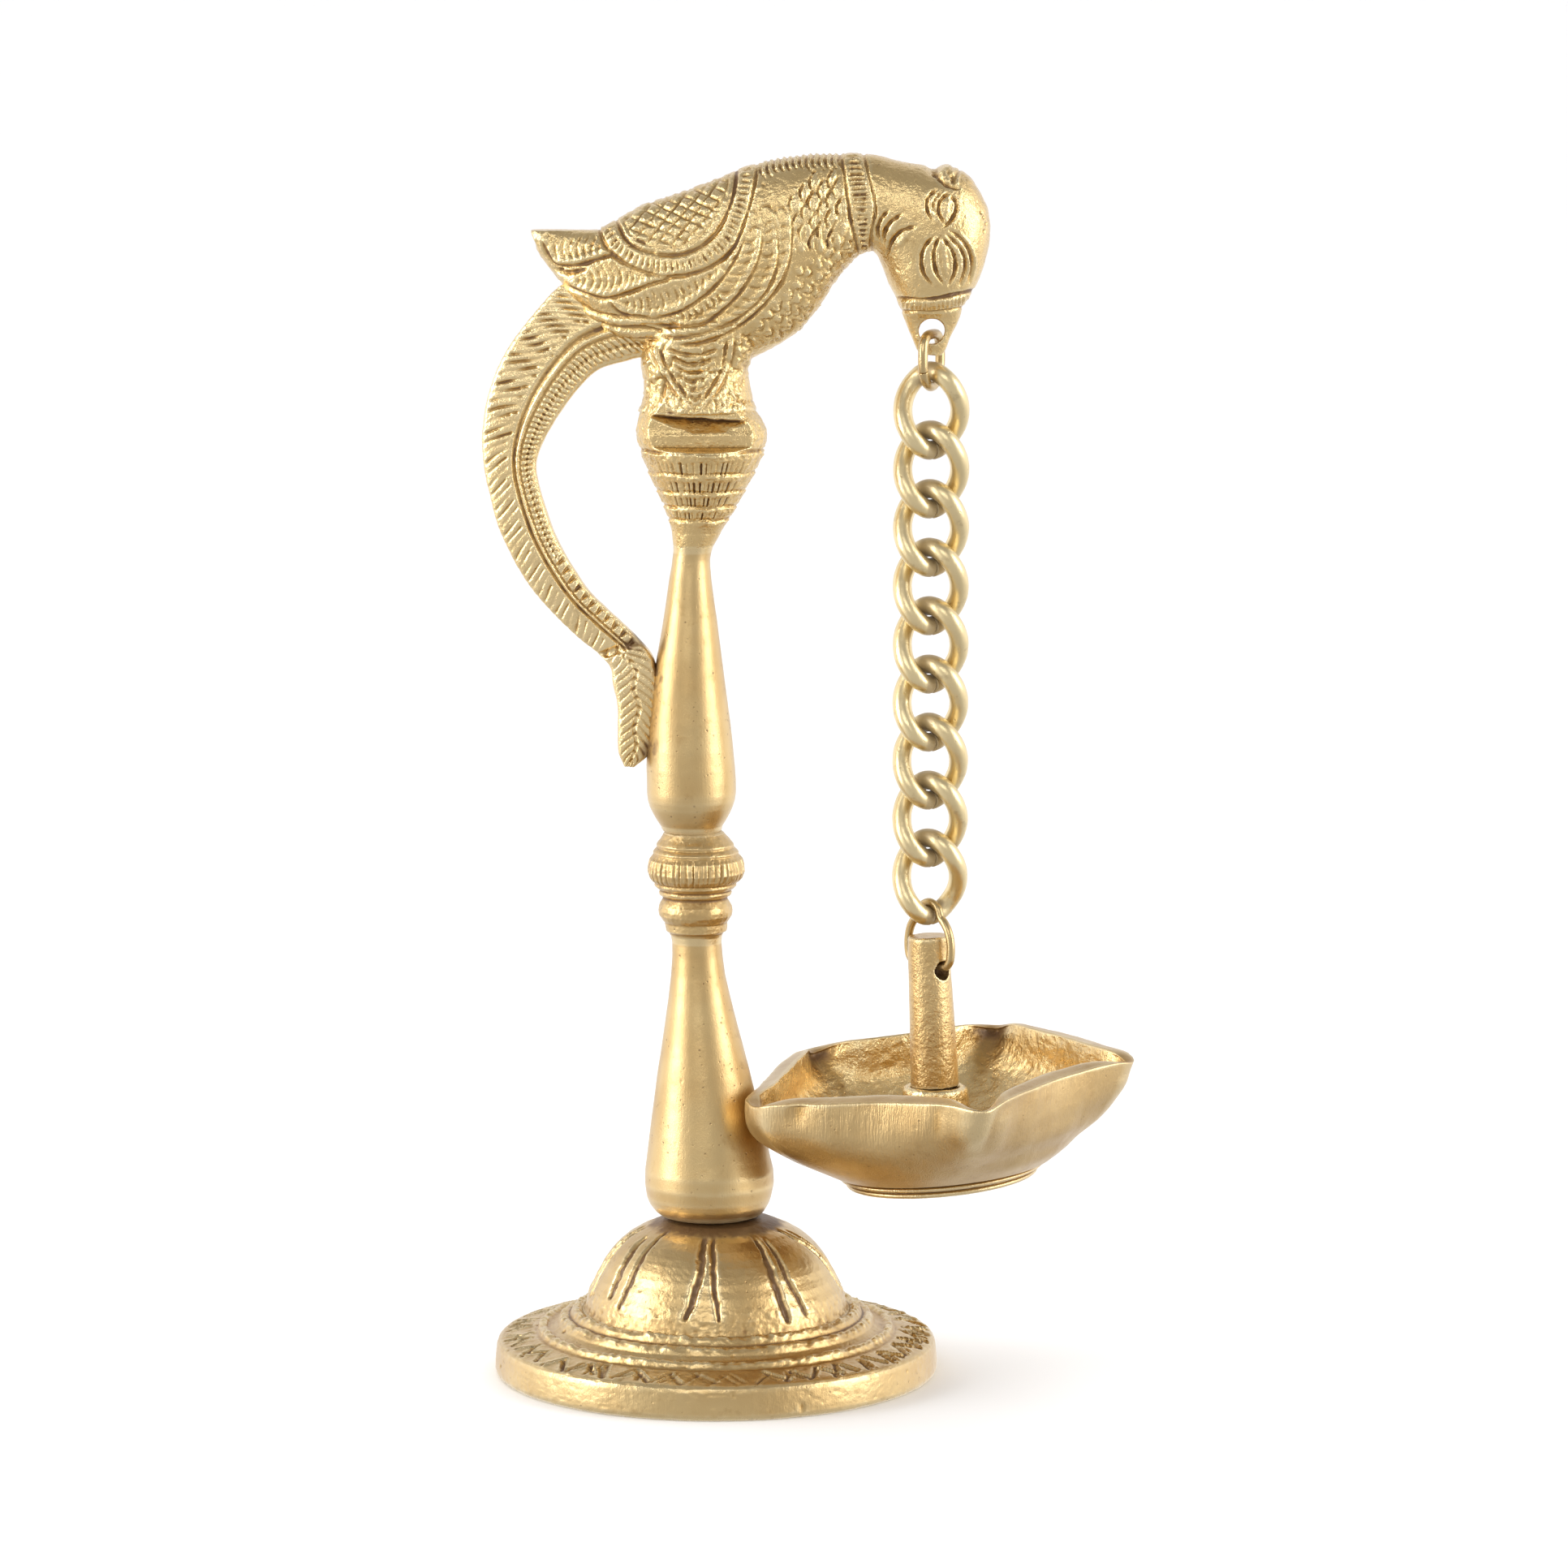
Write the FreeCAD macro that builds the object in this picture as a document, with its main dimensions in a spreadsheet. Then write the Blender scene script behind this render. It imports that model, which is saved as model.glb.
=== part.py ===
import FreeCAD, Part
import os
import math
from FreeCAD import Vector, Placement, Rotation

# Brass standing oil lamp (samai) in the shape of a bird on a turned column.
# A five-wick bowl hangs from the bird's beak on a nine-link curb chain.
# Frame: origin at the middle of the base's underside, +Z up, +X towards
# the hanging bowl, -Y towards the front.  Millimetres.

os.makedirs("parts", exist_ok=True)
doc = FreeCAD.newDocument("samai")

# ------------------------------------------------------------------ sizes
SIZES = [
    # base casting: flange with three raised rings and a fluted dome
    ("base_radius", 36.3), ("base_top_radius", 35.8), ("base_rim_height", 5.5),
    ("base_ring_outer", 29.6), ("base_ring_mid", 26.3), ("base_ring_inner", 23.9),
    ("dome_foot_radius", 21.4), ("dome_foot_level", 10.7),
    ("dome_top_radius", 8.2), ("dome_top_level", 25.9),
    ("base_hollow_radius", 33.6), ("base_nut_seat_level", 21.4),
    ("base_bore_radius", 5.0),
    # stud, washer and nut that clamp the column on the base
    ("stud_radius", 3.9), ("stud_length", 26.0), ("stud_drop", 12.5),
    ("washer_radius", 8.0), ("washer_thickness", 1.4),
    ("nut_flats", 13.0), ("nut_thickness", 5.0), ("nut_bore_radius", 4.2),
    # lower column
    ("lower_tilt", 2.2), ("lower_foot_x", -0.8), ("lower_foot_z", 26.24),
    ("lower_foot_radius", 7.9), ("lower_belly_radius", 10.6), ("lower_belly_level", 5.9),
    ("lower_neck_radius", 4.05), ("lower_neck_level", 45.3),
    ("knuckle_radius", 8.05), ("knuckle_level", 57.4),
    ("lower_length", 63.6), ("lower_top_radius", 5.05),
    ("stud_bore_depth", 14.5), ("joining_radius", 2.0), ("joining_depth", 11.0),
    ("joining_length", 21.0),
    # upper column and capital
    ("upper_x", -3.95), ("upper_bottom_level", 90.05), ("upper_bulb_radius", 7.3),
    ("upper_bulb_level", 97.6), ("upper_neck_radius", 3.12), ("upper_neck_level", 134.2),
    ("capital_x", -2.35), ("capital_radius", 10.75), ("capital_level", 154.0),
    ("capital_top_level", 160.4), ("capital_side_cut", -12.45),
    # beak eye and the ring in it
    ("beak_x", 35.03), ("beak_eye_level", 171.6), ("beak_eye_radius", 2.1),
    ("ring_wire_radius", 0.8), ("ring_half_width", 4.35), ("ring_half_height", 4.22),
    ("ring_top_level", 171.0), ("ring_turn", 20.0),
    # curb chain
    ("link_wire_radius", 1.55), ("link_half_width", 4.62), ("link_half_length", 6.42),
    ("link_play", 0.2), ("link_ring_play", 0.15), ("link_twist", 45.0), ("link_cut", 0.45),
    # hanger wire and the post of the bowl
    ("hanger_wire_radius", 0.7), ("hanger_angle", 42.0), ("pivot_level", 67.85),
    ("post_top_level", 72.6), ("post_top_radius", 3.38), ("post_foot_level", 47.6),
    ("post_foot_radius", 3.95), ("post_tilt", 2.8), ("post_eye_radius", 1.55),
    ("post_eye_drop", 0.63), ("spigot_radius", 2.5), ("spigot_bore_radius", 2.56),
    ("rivet_radius", 4.0), ("rivet_thickness", 1.0),
    # five-lipped bowl
    ("bowl_x", 36.42), ("bowl_y", -0.92), ("rim_level", 50.8), ("rim_tilt", 3.5),
    ("rim_wall", 2.0), ("bowl_foot_level", 32.0), ("bowl_foot_radius", 15.3), ("bowl_foot_tilt", 5.4),
    ("bowl_floor_level", 38.4), ("bowl_floor_radius", 13.0),
    ("bowl_boss_radius", 5.3), ("bowl_boss_foot_radius", 6.6), ("bowl_boss_level", 47.55),
    ("bowl_recess_radius", 11.4), ("bowl_recess_level", 34.2),
]

# Bird: stations along the body, each (top x, top z, bottom x, bottom z,
# half thickness), from the rump over the shoulder and the neck to the beak.
BIRD = [
    (-29.57, 187.70, -28.66, 185.22, 2.20), (-23.55, 187.96, -26.59, 181.69, 3.40),
    (-18.20, 188.22, -24.38, 178.82, 4.60), (-11.78, 191.74, -20.74, 174.63, 6.40),
    (-4.20, 194.34, -14.47, 170.18, 7.80), (3.24, 197.20, -5.57, 167.56, 8.60),
    (10.42, 199.28, 4.12, 166.51, 8.80), (15.63, 199.93, 10.41, 169.39, 8.40),
    (19.81, 199.93, 15.65, 173.85, 7.80), (23.72, 199.93, 20.22, 180.39, 7.20),
    (27.11, 199.54, 24.01, 184.17, 7.00), (31.55, 198.50, 25.71, 184.17, 7.30),
    (38.40, 197.55, 26.60, 182.90, 7.90),
    (43.98, 191.09, 27.42, 180.91, 8.00), (44.26, 185.87, 27.94, 179.47, 7.60),
    (42.98, 180.78, 28.60, 178.16, 6.90), (41.29, 177.38, 29.39, 176.60, 6.00),
    (39.87, 174.63, 30.18, 174.50, 3.80), (38.70, 171.88, 31.23, 171.88, 2.20),
    (37.66, 169.39, 32.29, 169.39, 1.60), (36.60, 167.55, 33.10, 167.80, 1.30),
]

# Tail plume: stations (outer x, outer z, inner x, inner z, half thickness)
# from the rump round to the leaf-shaped end brazed to the upper column.
TAIL = [
    (-22.02, 179.60, -10.55, 167.30, 2.60), (-24.91, 178.82, -14.75, 166.51, 2.60),
    (-27.80, 175.94, -18.68, 165.33, 2.60), (-31.49, 171.49, -21.71, 162.57, 2.60),
    (-34.67, 166.38, -24.22, 159.29, 2.60), (-36.80, 160.47, -26.47, 155.87, 2.60),
    (-37.63, 154.16, -28.19, 152.45, 2.50), (-37.27, 148.89, -28.86, 149.81, 2.50),
    (-36.38, 144.67, -28.48, 146.91, 2.50), (-35.23, 140.31, -27.32, 142.82, 2.40),
    (-33.15, 135.42, -25.77, 138.46, 2.40), (-30.29, 130.52, -23.42, 133.96, 2.30),
    (-26.75, 126.14, -20.41, 129.33, 2.20), (-22.29, 121.76, -16.61, 125.61, 2.10),
    (-18.88, 118.97, -13.06, 121.76, 2.00), (-17.04, 116.84, -10.70, 118.44, 2.00),
    (-16.65, 114.18, -9.92, 114.18, 2.10), (-15.87, 110.45, -10.33, 110.45, 2.10),
    (-15.89, 106.46, -10.74, 106.05, 2.00), (-15.77, 103.12, -11.41, 102.72, 1.80),
    (-14.85, 100.71, -13.13, 100.58, 1.40),
]

# Bowl rim in plan: (angle from +X towards the front, radius).  Five lips.
RIM = [
    (8.0, 32.2), (25.0, 27.1), (42.0, 25.3), (60.0, 27.4), (78.0, 32.4),
    (95.0, 26.8), (115.0, 24.9), (135.0, 28.6), (155.0, 34.6), (174.0, 29.5),
    (193.0, 28.1), (212.0, 29.6), (231.0, 33.2), (245.0, 29.6), (260.0, 28.8),
    (274.0, 30.4), (288.0, 34.8), (308.0, 29.6), (328.0, 27.6), (348.0, 28.4),
]

sheet = doc.addObject("Spreadsheet::Sheet", "Sizes")
SIZE = {}
row = 1


def put(alias, value, note=""):
    """One named cell."""
    global row
    sheet.set("A%d" % row, note or alias)
    sheet.set("B%d" % row, "%.4f" % value)
    sheet.setAlias("B%d" % row, alias)
    SIZE[alias] = float("%.4f" % value)
    row += 1


for alias, value in SIZES:
    put(alias, value)
for group, data in (("bird", BIRD), ("tail", TAIL)):
    for k, st in enumerate(data):
        for part, value in zip(("topx", "topz", "lowx", "lowz", "half"), st):
            put("%s_%s_%s" % (group, "abcdefghijklmnopqrstuvwxyz"[k], part), value)
for k, (ang, rad) in enumerate(RIM):
    put("rim_%s_angle" % "abcdefghijklmnopqrstuvwxyz"[k], ang)
    put("rim_%s_radius" % "abcdefghijklmnopqrstuvwxyz"[k], rad)
doc.recompute()


def size(alias):
    """Value of a cell as the sheet holds it."""
    return float(getattr(sheet, alias))


def stations(group, count):
    out = []
    for k in range(count):
        letter = "abcdefghijklmnopqrstuvwxyz"[k]
        out.append(tuple(size("%s_%s_%s" % (group, letter, p))
                         for p in ("topx", "topz", "lowx", "lowz", "half")))
    return out


# ------------------------------------------------------------ sketch tools
def value_of(c):
    """A coordinate: a number, an alias, or (alias, offset)."""
    if isinstance(c, tuple):
        return size(c[0]) + c[1]
    if isinstance(c, str):
        return size(c)
    return float(c)


def rule_of(c):
    if isinstance(c, tuple):
        return "<<Sizes>>.%s + %.4f" % (c[0], c[1])
    return "<<Sizes>>.%s" % c


def origin_plane(body, role):
    for feature in body.Origin.OriginFeatures:
        if feature.Role == role:
            return feature


def new_body(label):
    body = doc.addObject("PartDesign::Body", label)
    body.Label = label
    return body


def new_sketch(body, name, role):
    sketch = body.newObject("Sketcher::SketchObject", name)
    sketch.AttachmentSupport = [(origin_plane(body, role), "")]
    sketch.MapMode = "FlatFace"
    return sketch


def outline(sketch, points, arcs):
    """Closed profile.  points: corner coordinates.  arcs: {index: (x, y)}
    where the side from corner index to the next one is an arc through
    that point."""
    from Sketcher import Constraint
    n = len(points)
    xy = [(value_of(p[0]), value_of(p[1])) for p in points]
    for i in range(n):
        a, b = xy[i], xy[(i + 1) % n]
        if i in arcs:
            m = arcs[i]
            if (m[0] - a[0]) * (b[1] - a[1]) - (m[1] - a[1]) * (b[0] - a[0]) < 0:
                a, b = b, a
            arc = Part.Arc(Vector(a[0], a[1], 0), Vector(m[0], m[1], 0), Vector(b[0], b[1], 0))
            sketch.addGeometry(arc, False)
        else:
            sketch.addGeometry(Part.LineSegment(Vector(a[0], a[1], 0), Vector(b[0], b[1], 0)), False)
    ends = []
    for i in range(n):
        a = xy[i]
        g = sketch.Geometry[i]
        start = g.StartPoint if not isinstance(g, Part.ArcOfCircle) else g.StartPoint
        if math.hypot(start.x - a[0], start.y - a[1]) < 1e-6:
            ends.append((1, 2))
        else:
            ends.append((2, 1))
    cons = []
    for i in range(n):
        j = (i + 1) % n
        cons.append(Constraint("Coincident", i, ends[i][1], j, ends[j][0]))
    for i in range(n):
        cons.append(Constraint("DistanceX", -1, 1, i, ends[i][0], xy[i][0]))
        cons.append(Constraint("DistanceY", -1, 1, i, ends[i][0], xy[i][1]))
    for i in arcs:
        a, b = xy[i], xy[(i + 1) % n]
        centre = sketch.Geometry[i].Center
        if abs(b[1] - a[1]) > abs(b[0] - a[0]):
            cons.append(Constraint("DistanceX", -1, 1, i, 3, centre.x))
        else:
            cons.append(Constraint("DistanceY", -1, 1, i, 3, centre.y))
    sketch.addConstraint(cons)
    for i in range(n):
        for axis, c in ((0, points[i][0]), (1, points[i][1])):
            if isinstance(c, (str, tuple)):
                sketch.setExpression("Constraints[%d]" % (n + 2 * i + axis), rule_of(c))


def revolve(body, name, points, arcs=None):
    sketch = new_sketch(body, name + "_profile", "XZ_Plane")
    outline(sketch, points, arcs or {})
    feature = body.newObject("PartDesign::Revolution", name)
    feature.Profile = sketch
    feature.ReferenceAxis = (sketch, ["V_Axis"])
    feature.Angle = 360.0
    return feature


def turned(label, points, arcs=None):
    """Turned solid: a free sketch in the XZ plane swept round the Z axis."""
    sketch = doc.addObject("Sketcher::SketchObject", label + "_profile")
    sketch.Placement = Placement(Vector(0, 0, 0), Rotation(Vector(1, 0, 0), 90))
    outline(sketch, points, arcs or {})
    feature = doc.addObject("Part::Revolution", label)
    feature.Label = label
    feature.Source = sketch
    feature.Axis = Vector(0, 0, 1)
    feature.Base = Vector(0, 0, 0)
    feature.Angle = 360.0
    feature.Solid = True
    return feature


# ------------------------------------------------------------ base casting
base = turned("base_casting", [
    (("base_bore_radius", 0.0), "dome_top_level"),
    ("dome_top_radius", "dome_top_level"),
    (18.35, 18.3),
    ("dome_foot_radius", "dome_foot_level"),
    (22.1, 10.0),
    ("base_ring_inner", 9.75),
    (24.3, 9.25),
    ("base_ring_mid", 8.45),
    (27.9, 7.2),
    ("base_ring_outer", 6.75),
    (30.0, 6.35),
    ("base_top_radius", "base_rim_height"),
    ("base_radius", 0.9),
    (36.0, 0.0),
    ("base_hollow_radius", 0.0),
    (33.0, 2.6),
    (29.0, 4.0),
    (21.8, 7.2),
    (18.6, 10.4),
    (15.6, 16.6),
    (9.6, "base_nut_seat_level"),
    ("base_bore_radius", "base_nut_seat_level"),
], {1: (14.35, 22.55), 2: (20.45, 14.6), 4: (23.0, 10.5), 6: (25.4, 9.35),
    7: (26.9, 7.75), 8: (28.8, 7.5), 19: (13.1, 19.6)})
base.Placement = Placement(Vector(0, 0, 0), Rotation())

# ------------------------------------------------- stud, washer and nut
tilt = Rotation(Vector(0, 1, 0), -size("lower_tilt"))
foot = Vector(size("lower_foot_x"), 0, size("lower_foot_z"))

stud = new_body("base_stud")
sk = new_sketch(stud, "base_stud_section", "XY_Plane")
from Sketcher import Constraint
sk.addGeometry(Part.Circle(Vector(0, 0, 0), Vector(0, 0, 1), size("stud_radius")), False)
sk.addConstraint([Constraint("Coincident", 0, 3, -1, 1), Constraint("Radius", 0, size("stud_radius"))])
sk.setExpression("Constraints[1]", "<<Sizes>>.stud_radius")
pad = stud.newObject("PartDesign::Pad", "base_stud_rod")
pad.Profile = sk
pad.setExpression("Length", "<<Sizes>>.stud_length")
doc.recompute()
chamfer = stud.newObject("PartDesign::Chamfer", "base_stud_ends")
chamfer.Base = (pad, [e for e in ("Edge%d" % (k + 1) for k in range(len(pad.Shape.Edges)))
                      if abs(pad.Shape.Edges[int(e[4:]) - 1].Length - 2 * math.pi * size("stud_radius")) < 1e-3])
chamfer.Size = 0.5
stud.Placement = Placement(foot + tilt.multVec(Vector(0, 0, -size("stud_drop"))), tilt)

washer = new_body("base_washer")
revolve(washer, "base_washer_ring", [
    (("base_bore_radius", 0.0), 0.0), ("washer_radius", 0.0),
    ("washer_radius", "washer_thickness"), (("base_bore_radius", 0.0), "washer_thickness")])
washer.Placement = Placement(Vector(-0.6, 0, size("base_nut_seat_level") - size("washer_thickness")), Rotation())

nut = new_body("base_nut")
sk = new_sketch(nut, "base_nut_section", "XY_Plane")
rr = size("nut_flats") / math.sqrt(3.0)
corner = [Vector(rr * math.cos(math.radians(60 * k)), rr * math.sin(math.radians(60 * k)), 0) for k in range(6)]
for k in range(6):
    sk.addGeometry(Part.LineSegment(corner[k], corner[(k + 1) % 6]), False)
sk.addGeometry(Part.Circle(Vector(0, 0, 0), Vector(0, 0, 1), rr), True)
sk.addGeometry(Part.Circle(Vector(0, 0, 0), Vector(0, 0, 1), size("nut_bore_radius")), False)
cons = [Constraint("Coincident", k, 2, (k + 1) % 6, 1) for k in range(6)]
cons += [Constraint("PointOnObject", k, 1, 6) for k in range(6)]
cons += [Constraint("Equal", k, k + 1) for k in range(5)]
cons += [Constraint("Coincident", 6, 3, -1, 1), Constraint("Coincident", 7, 3, -1, 1),
         Constraint("PointOnObject", 0, 1, -1)]
sk.addConstraint(cons)
c1 = sk.addConstraint(Constraint("Radius", 6, rr))
c2 = sk.addConstraint(Constraint("Radius", 7, size("nut_bore_radius")))
sk.setExpression("Constraints[%d]" % c1, "<<Sizes>>.nut_flats / sqrt(3)")
sk.setExpression("Constraints[%d]" % c2, "<<Sizes>>.nut_bore_radius")
pad = nut.newObject("PartDesign::Pad", "base_nut_block")
pad.Profile = sk
pad.setExpression("Length", "<<Sizes>>.nut_thickness")
nut.Placement = Placement(Vector(-0.46, 0, size("base_nut_seat_level") - size("washer_thickness")
                                 - size("nut_thickness")), Rotation())

# ------------------------------------------------------------ lower column
lower = turned("lower_stem", [
    (("stud_radius", 0.05), 0.0),
    ("lower_foot_radius", 0.0),
    ("lower_belly_radius", "lower_belly_level"),
    (9.6, 12.9),
    (8.05, 20.6),
    (6.35, 29.6),
    (4.9, 38.2),
    ("lower_neck_radius", "lower_neck_level"),
    (4.2, 46.9),
    (4.75, 47.3),
    (4.75, 47.9),
    (5.0, 48.5),
    (5.35, 52.7),
    (6.1, 53.4),
    (6.0, 54.5),
    (6.95, 54.9),
    (6.9, 55.7),
    (7.45, 56.0),
    (7.45, 58.9),
    (6.7, 60.1),
    (6.35, 61.5),
    ("lower_top_radius", "lower_length"),
    (("joining_radius", 0.03), "lower_length"),
    (("joining_radius", 0.03), ("lower_length", -11.0)),
    (0.0, ("lower_length", -12.0)),
    (0.0, ("stud_bore_depth", 1.4)),
    (("stud_radius", 0.05), "stud_bore_depth"),
], {1: (9.9, 2.35), 2: (10.35, 9.5), 11: (6.1, 50.6), 17: (8.05, 57.4)})
lower.Placement = Placement(foot, tilt)

joining = new_body("stem_joining_stud")
revolve(joining, "stem_joining_rod", [
    (0.0, 0.0), (("joining_radius", -0.3), 0.0), ("joining_radius", 0.3),
    ("joining_radius", ("joining_length", -0.3)), (("joining_radius", -0.3), "joining_length"),
    (0.0, "joining_length")])
joining.Placement = Placement(foot + tilt.multVec(Vector(0, 0, size("lower_length") - size("joining_depth") + 0.2)), tilt)

# ------------------------------------------------------------ upper casting
ux = size("upper_x")
z0 = size("upper_bottom_level")


def up(z):
    return z - z0


column = turned("upper_turning", [
    (0.0, 0.0),
    (4.95, 0.0),
    (4.95, up(90.75)),
    ("upper_bulb_radius", ("upper_bulb_level", -z0)),
    (6.72, up(107.9)),
    ("upper_neck_radius", ("upper_neck_level", -z0)),
    (3.4, up(136.8)),
    (5.6, up(143.0)),
    (5.6, up(150.0)),
    (0.0, up(150.0)),
], {2: (6.75, up(93.8)), 3: (7.2, up(103.0))})
column.Placement = Placement(Vector(ux, 0, z0), Rotation())

capital = new_body("capital_turning_body")
cz = 136.5
revolve(capital, "capital_turning", [
    (0.0, 0.0),
    (3.0, 0.0),
    (5.1, 141.9 - cz),
    (5.75, 142.2 - cz),
    (6.6, 144.3 - cz),
    (7.1, 144.6 - cz),
    (8.0, 147.3 - cz),
    (8.5, 147.6 - cz),
    (9.35, 150.3 - cz),
    (9.8, 150.7 - cz),
    (10.35, 152.5 - cz),
    (10.35, 155.6 - cz),
    (9.9, 156.7 - cz),
    (8.7, 158.4 - cz),
    (8.3, ("capital_top_level", -cz)),
    (7.9, 165.0 - cz),
    (0.0, 168.5 - cz),
], {10: (10.75, 154.05 - cz)})
capital.Placement = Placement(Vector(size("capital_x"), 0, cz), Rotation())


# Oval sections of the bird and the plume: a superellipse in the plane
# through the two outline points and the Y direction.
def oval(top, low, half, power, count=20):
    mid = (top + low) * 0.5
    arm = (top - low) * 0.5
    pts = []
    for k in range(count):
        t = 2 * math.pi * k / count
        c, s = math.cos(t), math.sin(t)
        cc = math.copysign(abs(c) ** (2.0 / power), c)
        ss = math.copysign(abs(s) ** (2.0 / power), s)
        pts.append(mid + arm * cc + Vector(0, half * ss, 0))
    curve = Part.BSplineCurve()
    curve.interpolate(Points=pts, PeriodicFlag=True)
    return Part.Wire([curve.toShape()])


def loft_object(name, group, count, power, scale=1.0):
    wires = []
    for tx, tz, lx, lz, half in stations(group, count):
        wires.append(oval(Vector(tx, 0, tz), Vector(lx, 0, lz), half * scale, power))
    obj = doc.addObject("Part::Feature", name)
    obj.Shape = Part.makeLoft(wires, True, False, False)
    return obj


bird = loft_object("bird_form", "bird", len(BIRD), 2.25)
plume = loft_object("plume_form", "tail", len(TAIL), 3.2)

# Thighs and belly between the capital and the body.
thigh_wires = []
for lo, hi, z, half in ((-11.8, 6.0, 158.6, 6.8), (-11.3, 5.2, 162.0, 6.5),
                        (-11.9, 5.6, 166.0, 7.2), (-11.0, 8.0, 171.0, 8.0), (-8.0, 8.5, 177.0, 7.0)):
    thigh_wires.append(oval(Vector(hi, 0, z), Vector(lo, 0, z), half, 2.6))
thighs = doc.addObject("Part::Feature", "thigh_form")
thighs.Shape = Part.makeLoft(thigh_wires, True, False, False)

# Collar band round the neck.
col = stations("bird", len(BIRD))
band_wires = []
for k, grow in ((8, 0.99), (9, 1.045), (10, 0.99)):
    tx, tz, lx, lz, half = col[k]
    mid = Vector((tx + lx) / 2, 0, (tz + lz) / 2)
    arm = Vector((tx - lx) / 2, 0, (tz - lz) / 2) * grow
    band_wires.append(oval(mid + arm, mid - arm, half * grow, 2.25))

joined = doc.addObject("Part::MultiFuse", "bird_blank")
joined.Shapes = [column, capital, thighs, bird]

side = doc.addObject("Part::Box", "capital_side_block")
side.Length = 10.0
side.Width = 40.0
side.Height = 22.0
side.Placement = Placement(Vector(size("capital_side_cut") - 10.0, -20.0, 139.0), Rotation())

eye = doc.addObject("Part::Cylinder", "beak_eye_drill")
eye.setExpression("Radius", "<<Sizes>>.beak_eye_radius")
eye.Height = 30.0
eye.Placement = Placement(Vector(size("beak_x"), 15.0, size("beak_eye_level")), Rotation(Vector(1, 0, 0), 90))

bore = doc.addObject("Part::Cylinder", "joining_drill")
bore.setExpression("Radius", "<<Sizes>>.joining_radius + 0.03")
bore.Height = 11.2
bore.Placement = Placement(foot + tilt.multVec(Vector(0, 0, size("lower_length") - 0.2)), tilt)

tools = doc.addObject("Part::MultiFuse", "bird_drills")
tools.Shapes = [side, eye, bore]
bird_column = doc.addObject("Part::Cut", "bird_column")
bird_column.Label = "bird_column"
bird_column.Base = joined
bird_column.Tool = tools
doc.recompute()

tail = doc.addObject("Part::Cut", "tail_plume")
tail.Label = "tail_plume"
tail.Base = plume
tail.Tool = bird_column
doc.recompute()


# ------------------------------------------------------------- bent wires
def bent_wire(label, pts, radius_alias, place):
    """A round wire along a smooth open path given in the piece's frame."""
    curve = Part.BSplineCurve()
    curve.interpolate(Points=pts)
    path = doc.addObject("Part::Feature", label + "_path")
    path.Shape = curve.toShape()
    tangent = curve.tangent(curve.FirstParameter)[0]
    section = doc.addObject("Part::Circle", label + "_section")
    section.setExpression("Radius", "<<Sizes>>.%s" % radius_alias)
    section.Placement = Placement(pts[0], Rotation(Vector(0, 0, 1), tangent))
    sweep = doc.addObject("Part::Sweep", label)
    sweep.Label = label
    sweep.Sections = [section]
    sweep.Spine = (path, ["Edge1"])
    sweep.Solid = True
    sweep.Frenet = False
    sweep.Placement = place
    return sweep


def signed_power(v, p):
    return math.copysign(abs(v) ** p, v)


# Beak ring: a D-shaped wire loop in the YZ plane, flat side in the eye.
rw, rh = size("ring_half_width"), size("ring_half_height")
ring_pts = []
count = 32
for k in range(count + 1):
    t = math.radians(202.0) + (2 * math.pi - 0.03) * k / count
    c, s = math.cos(t), math.sin(t)
    p = 2.0 / 3.3 if s > 0 else 1.0
    ring_pts.append(Vector(0, rw * signed_power(c, p), rh * signed_power(s, p) - rh))
ring = bent_wire("beak_ring", ring_pts, "ring_wire_radius",
                 Placement(Vector(size("beak_x"), 0, size("ring_top_level")),
                           Rotation(Vector(0, 0, 1), -size("ring_turn"))))

# Curb links: an oval bent from wire and twisted a quarter turn, cut at the
# bottom.  The top arc crosses the bottom arc of the link above it squarely.
lw, lh = size("link_half_width"), size("link_half_length")
lr = size("link_wire_radius")
half_cut = size("link_cut") / 2.0 / lw
link_pts = []
count = 36
for k in range(count + 1):
    t = -math.pi / 2 + half_cut + (2 * math.pi - 2 * half_cut) * k / count
    c, s = math.cos(t), math.sin(t)
    x = lw * signed_power(c, 2.0 / 2.15)
    z = lh * signed_power(s, 2.0 / 2.15)
    turn = -math.radians(size("link_twist")) * z / lh
    link_pts.append(Vector(x * math.cos(turn), x * math.sin(turn), z))

cx = size("beak_x")
ring_bottom = size("ring_top_level") - 2 * rh
first = ring_bottom + size("ring_wire_radius") + lr + size("link_ring_play") - lh
pitch = 2 * lh - 2 * lr - size("link_play")
links = []
for k in range(9):
    links.append(bent_wire("chain_link_%d" % (k + 1), link_pts, "link_wire_radius",
                           Placement(Vector(cx, 0, first - k * pitch), Rotation())))
last_bottom = first - 8 * pitch - lh

# Hanger wire: a narrow loop over the last link and through the post's eye.
ha = math.radians(size("hanger_angle"))
hx, hy = math.sin(ha), -math.cos(ha)
low = size("pivot_level")
top = last_bottom + lr + size("hanger_wire_radius") + 0.12
side_pts = [(0.06, low), (1.9, low), (3.65, low + 0.02), (4.7, low + 0.85), (5.05, low + 2.3), (5.0, low + 4.1),
            (4.5, low + 5.8), (3.6, low + 7.1), (2.65, top - 2.3), (1.85, top - 0.76), (0.0, top)]
loop = side_pts + [(-a, b) for a, b in side_pts[-2::-1]]
hang_pts = [Vector(a * hx, a * hy, b - low) for a, b in loop]
hanger = bent_wire("hanger_wire", hang_pts, "hanger_wire_radius",
                   Placement(Vector(cx, 0, low), Rotation()))

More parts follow.
